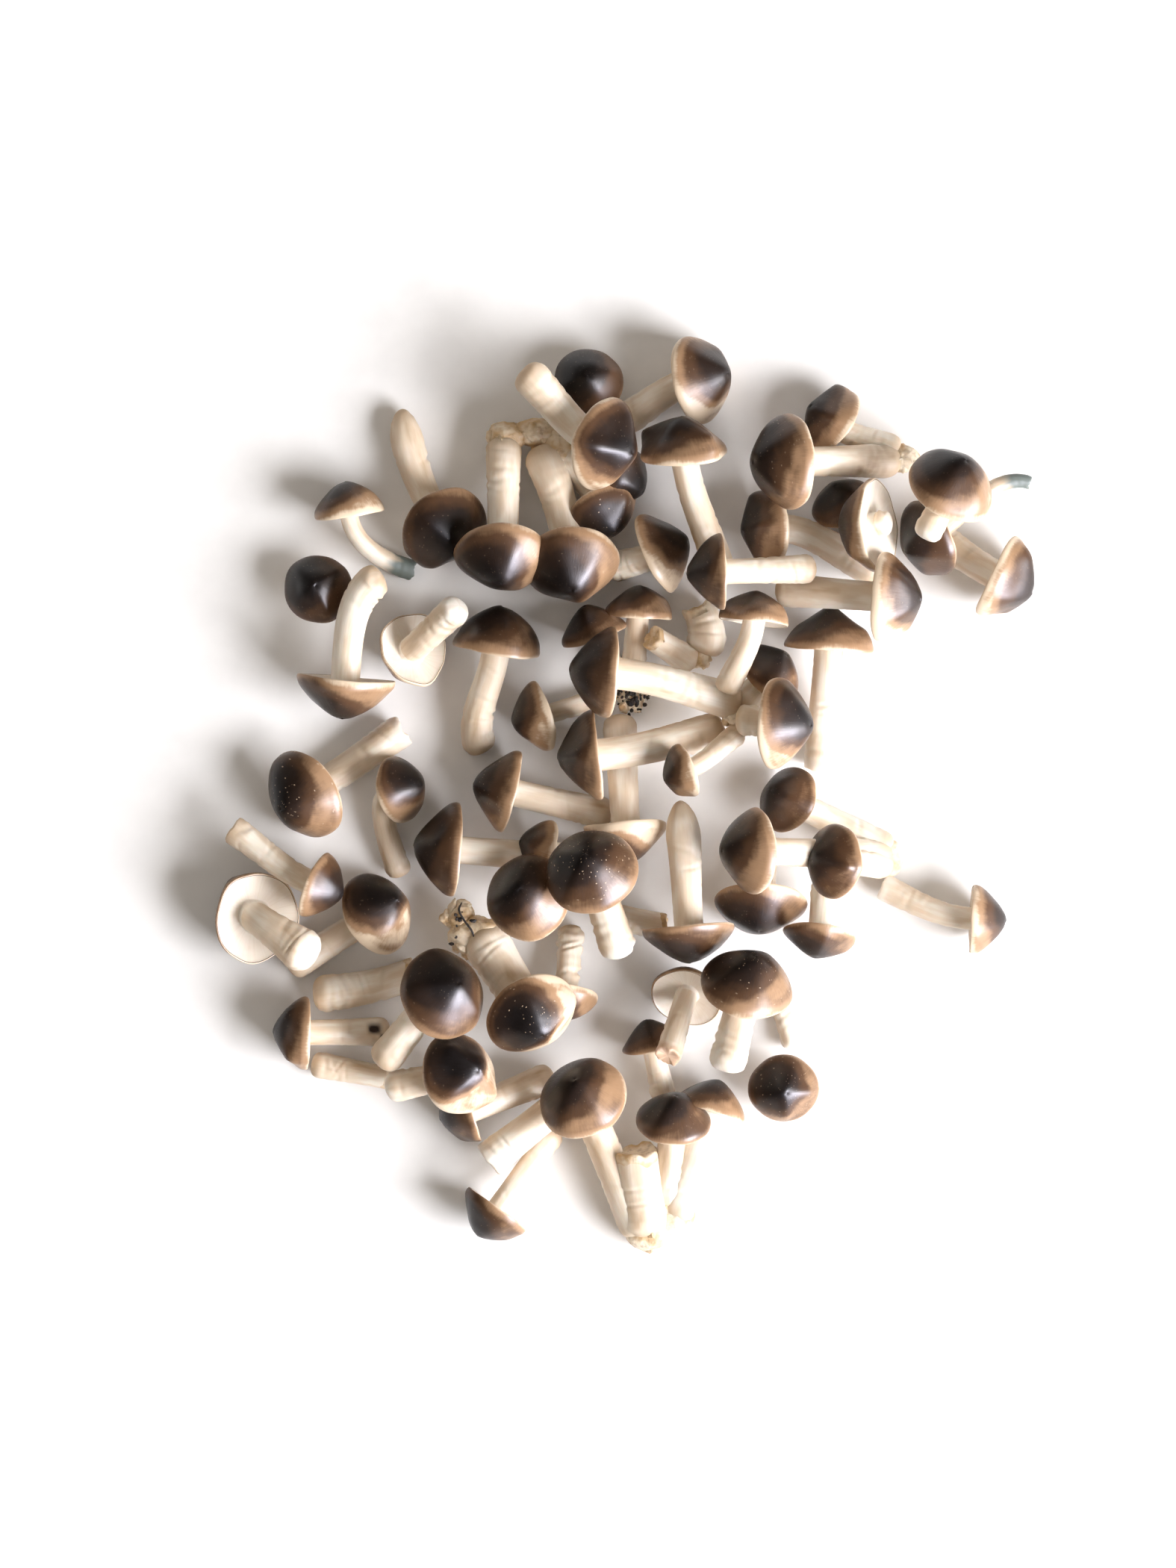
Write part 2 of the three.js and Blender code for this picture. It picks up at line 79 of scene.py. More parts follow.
class Zone(IntEnum):
    """The skins of a mushroom, in the order of its material slots."""

    STEM = 0
    UNDERSIDE = 1
    CAP = 2
    TORN = 3
    SOIL = 4


class Shade(Enum):
    """How dark a cap has grown, from near black to tan."""

    BLACK = -0.8
    DARK = -0.4
    BROWN = 0.0
    WARM = 0.25
    TAN = 0.6


class Tint(Enum):
    """The colour of a foot's end, as a place on the foot's colour ramp."""

    WHITE = 0.0
    TAN = 0.33
    FLESH = 0.66
    GREY = 1.0


@dataclass(frozen=True)
class FootForm:
    """A stem's end.

    Attributes:
        power: Power of the curve of its outline: 2 is round and 8 is flat with a crisp edge.
        reach: Length of the curve over half the stem's thickness.
        ragged: Height of the torn edge over half the thickness.
        hollow: Depth of the middle over half the thickness.
    """

    power: float
    reach: float
    ragged: float
    hollow: float


class Foot(Enum):
    """How a stem ends."""

    ROUND = FootForm(2.6, 0.82, 0.02, 0.0)
    CUT = FootForm(7.0, 0.5, 0.04, 0.03)
    TORN = FootForm(5.0, 0.55, 0.11, 0.25)
    POINTED = FootForm(1.8, 2.1, 0.05, 0.0)


@dataclass(frozen=True)
class Trait:
    """What tells one mushroom from another.

    Attributes:
        shade: How dark the cap is.
        specks: How many pale specks it has, from 0 to 1.
        cone: How straight its flanks are, from 0, domed, to 1, a cone.
        point: How far its middle stands up to a point.
        foot: How the stem ends.
        tint: The colour of the foot's end.
        wrinkles: How deep the stem's wrinkles are, over the usual depth.
        rot_hole: True where a hole has rotted into the stem near the foot.
        wavy: How wavy the rim is, over the usual waves.
        painted_light_gain: How strongly painted light lightens the cap's side toward the window lamp and
            painted shade darkens the far side, over the usual share.
    """

    shade: Shade = Shade.BROWN
    specks: float = 0.12
    cone: float = 0.45
    point: float = 0.0
    foot: Foot = Foot.ROUND
    tint: Tint = Tint.TAN
    wrinkles: float = 1.0
    rot_hole: bool = False
    wavy: float = 1.0
    painted_light_gain: float = 1.0


# The traits of the single mushrooms and stems that have any, by node.
TRAITS = {
    "mushroom_left_1": Trait(Shade.WARM, cone=0.2, foot=Foot.TORN, tint=Tint.GREY),
    "mushroom_left_2": Trait(Shade.BLACK),
    "mushroom_left_3": Trait(cone=0.6, wrinkles=1.6),
    "mushroom_left_4": Trait(Shade.DARK, foot=Foot.POINTED, wrinkles=1.8),
    "mushroom_left_5": Trait(Shade.DARK, cone=0.3, wrinkles=1.8),
    "mushroom_left_6": Trait(Shade.WARM, tint=Tint.WHITE, wrinkles=1.4, wavy=2.6),
    "mushroom_left_7": Trait(specks=1.0, foot=Foot.TORN, tint=Tint.WHITE, wrinkles=1.6),
    "mushroom_left_8": Trait(Shade.WARM, cone=0.3, painted_light_gain=1.6),
    "mushroom_left_9": Trait(Shade.WARM),
    "mushroom_left_10": Trait(specks=0.3, cone=0.7),
    "mushroom_left_11": Trait(Shade.TAN, painted_light_gain=1.9),
    "mushroom_left_12": Trait(tint=Tint.WHITE, wavy=1.5),
    "mushroom_left_13": Trait(Shade.WARM, foot=Foot.CUT, painted_light_gain=1.8),
    "mushroom_left_14": Trait(cone=0.1, rot_hole=True),
    "mushroom_left_15": Trait(Shade.DARK),
    "mushroom_left_16": Trait(Shade.TAN, cone=0.7, tint=Tint.WHITE, painted_light_gain=2.4),
    "mushroom_left_17": Trait(Shade.WARM, wrinkles=3.5),
    "mushroom_left_18": Trait(Shade.DARK),
    "mushroom_middle_1": Trait(Shade.TAN),
    "mushroom_middle_2": Trait(cone=0.2),
    "mushroom_middle_3": Trait(Shade.DARK, specks=1.0, tint=Tint.WHITE, wrinkles=1.5),
    "mushroom_middle_4": Trait(Shade.DARK, cone=0.9),
    "mushroom_middle_6": Trait(cone=0.9, point=0.8, foot=Foot.CUT, tint=Tint.WHITE, wrinkles=1.8),
    "mushroom_middle_7": Trait(Shade.TAN, cone=0.7, painted_light_gain=2.0),
    "mushroom_top_1": Trait(Shade.TAN, cone=0.9),
    "mushroom_top_2": Trait(Shade.BLACK, cone=0.2),
    "mushroom_top_3": Trait(Shade.TAN, cone=0.9),
    "mushroom_top_5": Trait(Shade.TAN, cone=0.6, painted_light_gain=2.0),
    "mushroom_right_1": Trait(Shade.TAN, cone=0.3, painted_light_gain=1.5),
    "mushroom_right_2": Trait(Shade.BLACK, foot=Foot.TORN, tint=Tint.GREY),
    "mushroom_right_3": Trait(Shade.WARM, tint=Tint.WHITE, wavy=2),
    "mushroom_right_4": Trait(Shade.WARM, cone=0.6, tint=Tint.WHITE),
    "mushroom_right_5": Trait(Shade.TAN, cone=0.5),
    "mushroom_right_6": Trait(Shade.DARK, cone=0.9),
    "mushroom_right_9": Trait(Shade.WARM, foot=Foot.CUT, tint=Tint.WHITE),
    "mushroom_low_1": Trait(Shade.DARK, foot=Foot.POINTED),
    "mushroom_low_2": Trait(Shade.DARK, cone=0.8),
    "mushroom_low_3": Trait(foot=Foot.TORN, tint=Tint.FLESH),
    "mushroom_low_4": Trait(specks=0.8, tint=Tint.WHITE, wrinkles=1.8),
    "mushroom_low_5": Trait(Shade.DARK, cone=0.2),
    "mushroom_low_6": Trait(specks=0.4),
    "stem_left_1": Trait(wrinkles=1.8),
    "stem_low_1": Trait(tint=Tint.WHITE),
    "stem_low_2": Trait(foot=Foot.CUT, tint=Tint.WHITE),
}


# ---- surfaces ----


def unit(vector: Array) -> Array:
    """A vector, or each vector of a row of them, at length one."""
    return vector / np.linalg.norm(vector, axis=-1, keepdims=True)


def reach(ring: Array) -> Array:
    """How far each point of a ring lies from its middle."""
    return np.linalg.norm(ring - ring.mean(0), axis=1)


def strides(points: Array) -> Array:
    """The distance from each point of a line to the next."""
    return np.linalg.norm(np.diff(points, axis=0), axis=1)


def run(steps: Array) -> Array:
    """How far along a line each point lies, from the steps between the points."""
    return np.concatenate([[0], np.cumsum(steps)])


def dice(name: str) -> Random:
    """The random numbers that a name seeds."""
    return np.random.default_rng(zlib.crc32(name.encode()))


def heading(angle: float, rise: float) -> Array:
    """The unit direction at an angle seen from above and a rise, both in radians."""
    return np.array([math.cos(rise) * math.cos(angle), math.cos(rise) * math.sin(angle), math.sin(rise)])


def spline(knots: Array, share: Array) -> Array:
    """A smooth curve through points.

    Formula: between two knots the curve is the cubic whose slope at each knot is half the step between
    the knot's two neighbours, with the end knots mirrored outwards.

    Args:
        knots: The points, one a row.
        share: Where along the knots, from 0 at the first to 1 at the last, evenly in knots.

    Returns:
        The curve's points, one for each share.
    """
    knots = np.asarray(knots, float)
    ends = np.vstack([2 * knots[0] - knots[1], knots, 2 * knots[-1] - knots[-2]])
    place = np.clip(share, 0, 1) * (len(knots) - 1)
    step = np.minimum(place.astype(int), len(knots) - 2)
    t = (place - step)[:, None]
    a, b, c, d = (ends[step + k] for k in range(4))
    return 0.5 * (2 * b + (c - a) * t + (2 * a - 5 * b + 4 * c - d) * t**2 + (3 * b - a - 3 * c + d) * t**3)


def shown(name: str, data: bpy.types.ID) -> Piece:
    """Makes an object and puts it into the scene.

    Args:
        name: Its name.
        data: Its mesh, light or camera.

    Returns:
        The object.
    """
    made = bpy.data.objects.new(name, data)
    bpy.context.scene.collection.objects.link(made)
    return made


@dataclass
class Skin:
    """One closed surface of rings, with a pole in the middle of each end ring.

    Attributes:
        rings: Ring points, rings by sides by three.
        zones: The zone of each band between two rings.
        grain: Around and along coordinates of each ring point, for patterns that follow the surface.
        ripe: 0 at a cap's rim or a stem's foot, 1 at its point or neck; on a cap it also carries painted
            light on the lamp side and painted shade on the far side.
        stain: 1 where the flesh has rotted, else 0.
        trait: Shade, specks and foot tint of the whole surface.
    """

    rings: Array
    zones: Array
    grain: Array
    ripe: Array
    stain: Array
    trait: Triple = (0, 0, 0)


@dataclass
class Mesh:
    """Collects skins and writes them as one mesh."""

    points: list[Array] = field(default_factory=list)
    corners: list[Array] = field(default_factory=list)
    sizes: list[Array] = field(default_factory=list)
    zones: list[Array] = field(default_factory=list)
    grain: list[Array] = field(default_factory=list)
    ripe: list[Array] = field(default_factory=list)
    stain: list[Array] = field(default_factory=list)
    trait: list[Array] = field(default_factory=list)
    count: int = 0

    def add(self, skin: Skin) -> None:
        """Adds a skin: a quad for each cell of its grid, and a fan of triangles at each pole.

        Args:
            skin: The skin.
        """
        bands, sides = skin.rings.shape[:2]
        first = self.count
        ring = np.arange(bands - 1)[:, None] * sides
        here = np.arange(sides)[None, :]
        there = (here + 1) % sides
        quads = np.stack([ring + here, ring + there, ring + sides + there, ring + sides + here], -1)
        last = (bands - 1) * sides
        low = np.full(sides, bands * sides)
        start_fan = np.stack([low, there[0], here[0]], -1)
        end_fan = np.stack([low + 1, last + here[0], last + there[0]], -1)
        kept = (self.points, self.grain, self.ripe, self.stain)
        for values, drawn in zip(kept, (skin.rings, skin.grain, skin.ripe, skin.stain)):
            values += [drawn.reshape(-1, *drawn.shape[2:]), drawn[[0, -1]].mean(1)]
        self.corners += [part.reshape(-1) + first for part in (quads, start_fan, end_fan)]
        self.sizes += [np.full((bands - 1) * sides, 4), np.full(2 * sides, 3)]
        self.zones += [np.repeat(skin.zones, sides), np.repeat(skin.zones[[0, -1]], sides)]
        self.trait.append(np.tile(skin.trait, (bands * sides + 2, 1)))
        self.count += bands * sides + 2

    def write(self, name: str, finishes: list[Material]) -> Piece:
        """Makes the object, with nothing of it below the floor.

        Args:
            name: The piece's name.
            finishes: The materials, in the order of the zones.

        Returns:
            The object, at the origin.
        """
        mesh = bpy.data.meshes.new(name)
        points = np.concatenate(self.points)
        points[:, 2] = np.maximum(points[:, 2], 0)
        corners = np.concatenate(self.corners)
        sizes = np.concatenate(self.sizes)
        mesh.vertices.add(len(points))
        mesh.vertices.foreach_set("co", points.astype(np.float32).ravel())
        mesh.loops.add(len(corners))
        mesh.loops.foreach_set("vertex_index", corners.astype(np.int32))
        mesh.polygons.add(len(sizes))
        mesh.polygons.foreach_set("loop_start", np.concatenate([[0], np.cumsum(sizes)[:-1]]).astype(np.int32))
        mesh.polygons.foreach_set("loop_total", sizes.astype(np.int32))
        mesh.polygons.foreach_set("material_index", np.concatenate(self.zones).astype(np.int32))
        mesh.polygons.foreach_set("use_smooth", np.ones(len(sizes), bool))
        for label, values in (("grain", self.grain), ("trait", self.trait)):
            layer = mesh.attributes.new(label, "FLOAT_VECTOR", "POINT")
            layer.data.foreach_set("vector", np.concatenate(values).astype(np.float32).ravel())
        for label, values in (("ripe", self.ripe), ("stain", self.stain)):
            layer = mesh.attributes.new(label, "FLOAT", "POINT")
            layer.data.foreach_set("value", np.concatenate(values).astype(np.float32))
        for finish in finishes:
            mesh.materials.append(finish)
        mesh.update(calc_edges=True)
        mesh.validate()
        return shown(name, mesh)


# ---- what the frame gives ----


class Solid:
    """A frame node's faceted solid, read as rings of points."""

    def __init__(self, name: str) -> None:
        """Merges the node's loose triangles and notes which points are joined.

        Args:
            name: The node.
        """
        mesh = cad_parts[name].data
        co = np.empty(len(mesh.vertices) * 3, np.float32)
        mesh.vertices.foreach_get("co", co)
        mesh.calc_loop_triangles()
        corners = np.empty(len(mesh.loop_triangles) * 3, np.int32)
        mesh.loop_triangles.foreach_get("vertices", corners)
        places = np.round(co.reshape(-1, 3), 6).astype(float)
        self.points, merged = np.unique(places, axis=0, return_inverse=True)
        triangles = merged.reshape(-1)[corners].reshape(-1, 3)
        self.joined = np.zeros((len(self.points), len(self.points)), bool)
        for i, j in ((0, 1), (1, 2), (2, 0)):
            self.joined[triangles[:, i], triangles[:, j]] = True
            self.joined[triangles[:, j], triangles[:, i]] = True

    def rings(self, pole: int, most: int = 9) -> list[Array]:
        """The rings round a pole, as far as they are whole.

        Args:
            pole: The pole's place among the points.
            most: How many rings are wanted.

        Returns:
            The points of each ring, nearest first.
        """
        seen = np.zeros(len(self.points), bool)
        seen[pole] = True
        ring = seen.copy()
        found = []
        while len(found) < most:
            ring = self.joined[ring].any(0) & ~seen
            if ring.sum() != SIDES:
                break
            found.append(self.points[ring])
            seen |= ring
        return found

    def poles(self) -> list[int]:
        """The points that stand in the middle of a whole round ring.

        Returns:
            Their places among the points.
        """
        found = []
        for pole in np.flatnonzero(self.joined.sum(1) == SIDES):
            radii = reach(self.points[self.joined[pole]])
            if radii.std() < UNEVEN * radii.mean():
                found.append(int(pole))
        return found


@dataclass
class Stalk:
    """A stem's line and thickness, in metres.

    Attributes:
        foot: Middle of the foot.
        start: Direction in which the stem leaves its foot.
        top: Where the stem ends, in the plane of the cap's rim.
        way: Direction in which it ends.
        half: Half of its thickness.
        heel: Foot radius over half the thickness.
    """

    foot: Array
    start: Array
    top: Array
    way: Array
    half: float
    heel: float = HEEL

    def line(self, share: Array) -> tuple[Array, Array]:
        """Points and directions along the stem.

        Formula: the cubic from foot to top whose two handles are a fixed share of the distance long.

        Args:
            share: Where, from 0 at the foot to 1 at the top.

        Returns:
            The points and the unit directions, one row for each share.
        """
        handle = HANDLE * np.linalg.norm(self.top - self.foot)
        a, d = self.foot, self.top
        b, c = a + handle * self.start, d - handle * self.way
        t = share[:, None]
        points = (1 - t) ** 3 * a + 3 * (1 - t) ** 2 * t * b + 3 * (1 - t) * t**2 * c + t**3 * d
        slopes = (1 - t) ** 2 * (b - a) + 2 * (1 - t) * t * (c - b) + t**2 * (d - c)
        return points, unit(slopes)

    def length(self) -> float:
        """The stem's length along its line."""
        points, _ = self.line(np.linspace(0, 1, 40))
        return float(strides(points).sum())


@dataclass
class Cap:
    """A cap: the middle of its rim, where it points, its rim's radius and its height."""

    base: Array
    way: Array
    rim: float
    height: float

    @classmethod
    def under(cls, point: Array, ring: Array) -> "Cap":
        """Works a cap out from its top.

        Args:
            point: Its point.
            ring: The ring nearest to its point.

        Returns:
            The cap.
        """
        middle = ring.mean(0)
        way = unit(np.linalg.svd(ring - middle)[2][2])
        way = way * np.sign((point - middle) @ way)
        height = (point - middle) @ way / (1 - CAP_TOP[1])
        rim = reach(ring).mean() / CAP_TOP[0]
        return cls(point - way * height, way, float(rim), float(height))

    def middle(self) -> Array:
        """The middle of the cap's height."""
        return self.base + self.way * self.height / 2


# ---- the mushroom ----

PAINTED_LIGHT_SIDE = np.array((0.86, -0.51, 0.0))  # the side facing the window lamp, where the caps get painted light; the far side gets painted shade
PAINTED_LIGHT_SHARE = 0.34  # how far that painted light and painted shade shift a cap's tone
PAINTED_LIGHT_PALEST = 0.19  # the palest ripeness that painted light may give a cap away from its rim
ROT_SPOTS = ((7.5, 0.3, 2.6, 0.42), (4.0, -0.5, 1.4, 0.3))  # along and round the stem, length and width
ROT_DEPTH = 0.3  # how deep the holes are, over the stem's radius
ROT_FILL = 1.4  # how far the rot fills its hole before it ends
SHADE_PLAY = 0.12  # how far a cap's shade may differ from its named one
GRAIN_STEP = 10 * MM  # the length along the surface that the grain counts as one
RIB_STEP = 12 * MM  # the length over which a stem's ribs change
RIPPLE_HEIGHT = 0.012  # the fine wrinkles round the foot, over the stem's radius
RIPPLE_STEP = 0.5 * MM  # the length in which a ripple turns by one radian
RIPPLE_REACH = 8 * MM  # how far up the stem the ripples fade
CREASES = 14  # how many creases cross a stem
CREASE_ROUND = 3  # how short a crease is round the stem
TORN_BLEND = 6  # how many rings of a broken stem follow its torn edge
CORNER_POWER = 7  # how crisp the corners of a cap are
RIM_CORNERS = 0.15  # how far they show at its rim, over the flank
POINT = (0.06, 0.16)  # how high a cap's point may stand, over its height, and how wide, over its rim
WAIST = (0.08, 0.45, 0.2)  # how deep the flank of a pointed cap draws in, and where and how wide that is
CAP_STOPS = (0.0, 0.12, 0.34, 0.62, 1.0)  # where the cap's five tones stand, from the rim to the point

# The stages of a mushroom's outline: radius over the rim's and height over the cap's.
UNDERSIDE = ((0.0, 0.155), (0.07, 0.15), (0.2, 0.135), (0.45, 0.1), (0.7, 0.05), (0.88, 0.0), (0.955, -0.03))
RIM = ((0.955, -0.03), (0.985, -0.036), (1.0, -0.005), (1.003, 0.045))
DOMED_FLANK = (
    (1.003, 0.045), (0.985, 0.15), (0.94, 0.265), (0.82, 0.45), (0.64, 0.64), (0.43, 0.815), (0.23, 0.925),
)
CONE_FLANK = (
    (1.003, 0.045), (0.975, 0.125), (0.915, 0.215), (0.77, 0.385), (0.59, 0.575), (0.395, 0.765),
    (0.21, 0.912),
)
CROWN = ((0.135, 0.955), (0.065, 0.969), (0.012, 0.972))
FOOT_RINGS = 10
STEM_RINGS = 54
UNDER_RINGS = 12
RIM_RINGS = 7
FLANK_RINGS = 20
CROWN_RINGS = 5
MUSHROOM_SIDES = 56


def waves(rng: Random, turn: Array, along: Array, size: float, counts: tuple[int, ...]) -> Array:
    """Waves over a surface.

    Formula: a sum of cosines of whole numbers of waves round the surface, each turning slowly along it
    and lower than the one before.

    Args:
        rng: The mushroom's random numbers.
        turn: The angle of each side.
        along: The place of each ring, with a full turn at about 4.
        size: The height of the first wave.
        counts: How many waves round, for each cosine.

    Returns:
        A height for each ring and side.
    """
    number = np.array(counts)
    heights = size / (1 + np.arange(len(number)))
    phase = rng.uniform(0, 2 * math.pi, len(number))
    twist = rng.uniform(-1.5, 1.5, len(number))
    angle = number * turn[None, :, None] + phase + twist * along[:, None, None]
    return (heights * np.cos(angle)).sum(-1)


def facet_ring(rng: Random, turn: Array) -> Array:
    """A ring with soft corners, as the change of its radius.

    Formula: the radius is the reach of a polygon with four to six flats at uneven angles. Its corners are
    rounded by taking a high power mean over the flats, and the mean radius is taken off.

    Args:
        rng: The mushroom's random numbers.
        turn: The angle of each side.

    Returns:
        The relative change of the radius for each side.
    """
    count = int(rng.integers(4, 7))
    flats = (np.arange(count) + rng.uniform(-0.24, 0.24, count) + rng.uniform()) * 2 * math.pi / count
    facing = np.maximum(np.cos(turn[:, None] - flats), 0)
    radii = (facing**CORNER_POWER).sum(1) ** (-1 / CORNER_POWER)
    return radii / radii.mean() - 1


def ring_frames(middles: Array, ways: Array) -> tuple[Array, Array]:
    """The two directions across a line, steady along it.

    Formula: one fixed direction across the whole line, made square to each step by taking off its share
    along the step, and the cross product of the two.

    Args:
        middles: Points of the line.
        ways: Unit directions along it.

    Returns:
        Two unit directions for each point.
    """
    chord = unit(middles[-1] - middles[0])
    aside = np.cross(chord, ways[len(ways) // 2])
    if np.linalg.norm(aside) < 0.05:
        aside = np.cross(chord, np.eye(3)[np.argmin(np.abs(chord))])
    fixed = unit(aside)
    left = unit(fixed - (ways @ fixed)[:, None] * ways)
    return left, np.cross(ways, left)


def spokes(turn: Array, left: Array, over: Array) -> Array:
    """The unit directions from each ring's middle to its sides: a turn's cosine and sine of the two."""
    return np.cos(turn)[None, :, None] * left[:, None] + np.sin(turn)[None, :, None] * over[:, None]


@dataclass
class Outline:
    """Rings before they are drawn, each with its middle, direction and radius.

    Attributes:
        middles: Middle of each ring.
        ways: Direction along the line at each ring.
        radii: Radius of each ring in metres.
        swell: Relative change of the radius, rings by sides.
        shift: Shift along the line in metres, rings by sides.
        ripe: Ripeness, rings by sides.
        zone: Zone of each ring.
    """

    middles: Array
    ways: Array
    radii: Array
    swell: Array
    shift: Array
    ripe: Array
    zone: Array

    def then(self, other: "Outline") -> "Outline":
        """This outline with another after it."""
        pairs = zip(vars(self).values(), vars(other).values())
        return Outline(*(np.concatenate(pair) for pair in pairs))


@dataclass
class Mushroom:
    """One mushroom, whole or broken off without its cap.

    Attributes:
        name: Its name, which seeds its waves.
        stalk: Its stem.
        cap: Its cap, or None.
        trait: What tells it from the others.
        lobes: How far the rim's radius varies.
        wave: How far the rim rises and falls, over the cap's height.
        dents: How far the flanks vary.
        ribs: How far the stem's ribs stand out.
        creases: How deep the creases across the stem are.
    """

    name: str
    stalk: Stalk
    cap: Cap | None
    trait: Trait
    lobes: float = 0.02
    wave: float = 0.03
    dents: float = 0.018
    ribs: float = 0.02
    creases: float = 0.055

    def __post_init__(self) -> None:
        """Seeds the random numbers and lays out the sides."""
        self.rng = dice(self.name)
        self.turn = np.linspace(0, 2 * math.pi, MUSHROOM_SIDES, endpoint=False)

    def skin(self) -> Skin:
        """Draws the mushroom.

        Formula: each point is its ring's middle, plus the ring's radius times one and its swell across the
        line, plus its shift along the line. The cap's colour carries painted light on the side facing the
        window lamp and painted shade on the far side, most of all halfway up.

        Returns:
            Its closed surface.
        """
        outline = self.stem_outline()
        outline = outline.then(self.cap_outline() if self.cap else self.broken_end(outline))
        left, over = ring_frames(outline.middles, outline.ways)
        stain = self.rot(outline, left, over)
        radii = outline.radii[:, None] * (1 + outline.swell - ROT_DEPTH * stain)
        across = spokes(self.turn, left, over)
        rings = outline.middles[:, None] + radii[..., None] * across
        rings = rings + outline.shift[..., None] * outline.ways[:, None]
        along = run(strides(rings.mean(1)) + np.abs(np.diff(outline.radii))) / GRAIN_STEP
        offset = self.rng.uniform(0, 40, 2)
        grain = np.stack(np.broadcast_arrays(
            np.cos(self.turn) + offset[0], np.sin(self.turn) + offset[1], along[:, None]), -1)
        # Painted light and painted shade: the cap is made paler on the side facing the window lamp and darker
        # on the far side.
        flank = np.sqrt(np.sin(math.pi * np.clip(outline.ripe, 0, 1)))
        painted_light = PAINTED_LIGHT_SHARE * self.trait.painted_light_gain * (across @ PAINTED_LIGHT_SIDE) * flank
        ripe = np.maximum(outline.ripe - painted_light, np.minimum(outline.ripe, PAINTED_LIGHT_PALEST))
        ripe = np.where((outline.zone == Zone.CAP)[:, None], ripe, outline.ripe)
        shade = self.trait.shade.value + self.rng.uniform(-SHADE_PLAY, SHADE_PLAY)
        trait = (shade, self.trait.specks, self.trait.tint.value)
        return Skin(rings, outline.zone[1:], grain, ripe, stain, trait)

    def end_curve(self, form: FootForm, wide: float) -> tuple[Array, Array]:
        """A stem's end.

        Formula: a quarter of a superellipse from near the pole to the full width, sunk at the middle with
        the square of the distance from the edge.

        Args:
            form: The end's form.
            wide: Its full radius over half the stem's thickness.

        Returns:
            How far along in metres each ring lies, and its radius over half the thickness.
        """
        turn = np.linspace(0.05, 0.5 * math.pi, FOOT_RINGS)
        out = np.sin(turn) ** (2 / form.power)
        along = form.reach * (1 - np.cos(turn) ** (2 / form.power)) - FOOT_BULGE + form.hollow * (1 - out**2)
        return along * self.stalk.half, out * wide

    def stem_outline(self) -> Outline:
        """The stem's rings.

        Formula: after the foot's curve the radius eases from the heel's to the neck's with the square of
        the distance from the neck. The foot's torn edge is a sum of waves that fades from the edge.

        Returns:
            The rings from the foot to the neck.
        """
        form = self.trait.foot.value
        half, heel = self.stalk.half, self.stalk.heel
        length = self.stalk.length()
        foot, foot_radii = self.end_curve(form, heel)
        last = 1.0 if self.cap else 1.0 - form.reach * half / length
        rest = np.linspace(foot[-1] / length, last, STEM_RINGS + 1)[1:]
        share = np.concatenate([foot / length, rest])
        middles, ways = self.stalk.line(np.maximum(share, 0))
        middles = middles + np.minimum(share, 0)[:, None] * length * ways[0]
        fade = (1 - (rest - rest[0]) / (1 - rest[0])) ** 2
        radii = np.concatenate([foot_radii, NECK + (heel - NECK) * fade]) * half * ROUND
        along = share * length
        swell = self.stem_waves(along)
        edge = np.concatenate([foot_radii / heel, np.exp(-(rest * length - foot[-1]) / (0.6 * half))])
        torn = waves(self.rng, self.turn, 0 * share, form.ragged * half, (3, 5, 8, 13)) * edge[:, None] ** 2
        ripe = np.broadcast_to((share / share[-1])[:, None], swell.shape)
        zone = np.full(len(share), Zone.STEM)
        return Outline(middles, ways, radii, swell, torn, ripe, zone)

    def broken_end(self, stem: Outline) -> Outline:
        """The torn end of a stem without a cap.

        Formula: a torn foot's curve turned round, with a torn edge that also shifts the stem's last rings.

        Args:
            stem: The stem's rings, whose last ones it shifts.

        Returns:
            The rings after them.
        """
        form = Foot.TORN.value
        back, out = self.end_curve(form, 1.0)
        ahead, out = back[-1] - back[-2::-1], out[-2::-1]
        count = len(out)
        ways = np.repeat(stem.ways[-1:], count, 0)
        middles = stem.middles[-1] + ahead[:, None] * ways
        swell = np.repeat(stem.swell[-1:], count, 0)
        edge = waves(self.rng, self.turn, 0 * out, form.ragged * self.stalk.half, (2, 5, 7, 12))
        edge = edge * out[:, None] ** 2
        stem.shift[-TORN_BLEND:] += edge[:1] * np.linspace(0, 1, TORN_BLEND)[:, None] ** 2
        zone = np.full(count, Zone.TORN)
        return Outline(middles, ways, stem.radii[-1] * out, swell, edge, np.ones_like(swell), zone)

    def stem_waves(self, along: Array) -> Array:
        """How the stem's radius varies.

        Formula: lengthwise ribs, fine wrinkles round it that fade from the foot, and creases. Each crease
        is a groove with raised sides, the second slope of a bell curve, that runs aslant part of the way
        round.

        Args:
            along: How far along each ring lies, in metres.

        Returns:
            The relative change of the radius, rings by sides.
        """
        rng, turn = self.rng, self.turn
        ribs = waves(rng, turn, along / RIB_STEP, self.ribs, (1, 2, 3, 7, 11))
        fade = np.exp(-np.maximum(along, 0) / RIPPLE_REACH)[:, None]
        ripple = np.sin(along[:, None] / RIPPLE_STEP + 1.6 * np.sin(turn[None] + rng.uniform(0, 6)))
        each = (CREASES, 1, 1)
        place = rng.beta(0.9, 1.6, each) * along[-1]
        facing = rng.uniform(0, 2 * math.pi, each)
        wide = rng.uniform(0.7, 1.5, each) * MM
        deep = rng.uniform(0.3, 1.0, each) * self.creases * self.trait.wrinkles
        slant = rng.uniform(-3, 3, each) * MM
        apart = np.cos(turn[None, None] - facing)
        off = (along[None, :, None] - place - slant * np.sin(turn[None, None] - facing)) / wide
        grooves = deep * (off**2 - 1) * np.exp(CREASE_ROUND * (apart - 1) - off**2 / 2)
        return ribs + RIPPLE_HEIGHT * self.trait.wrinkles * fade * ripple + grooves.sum(0)

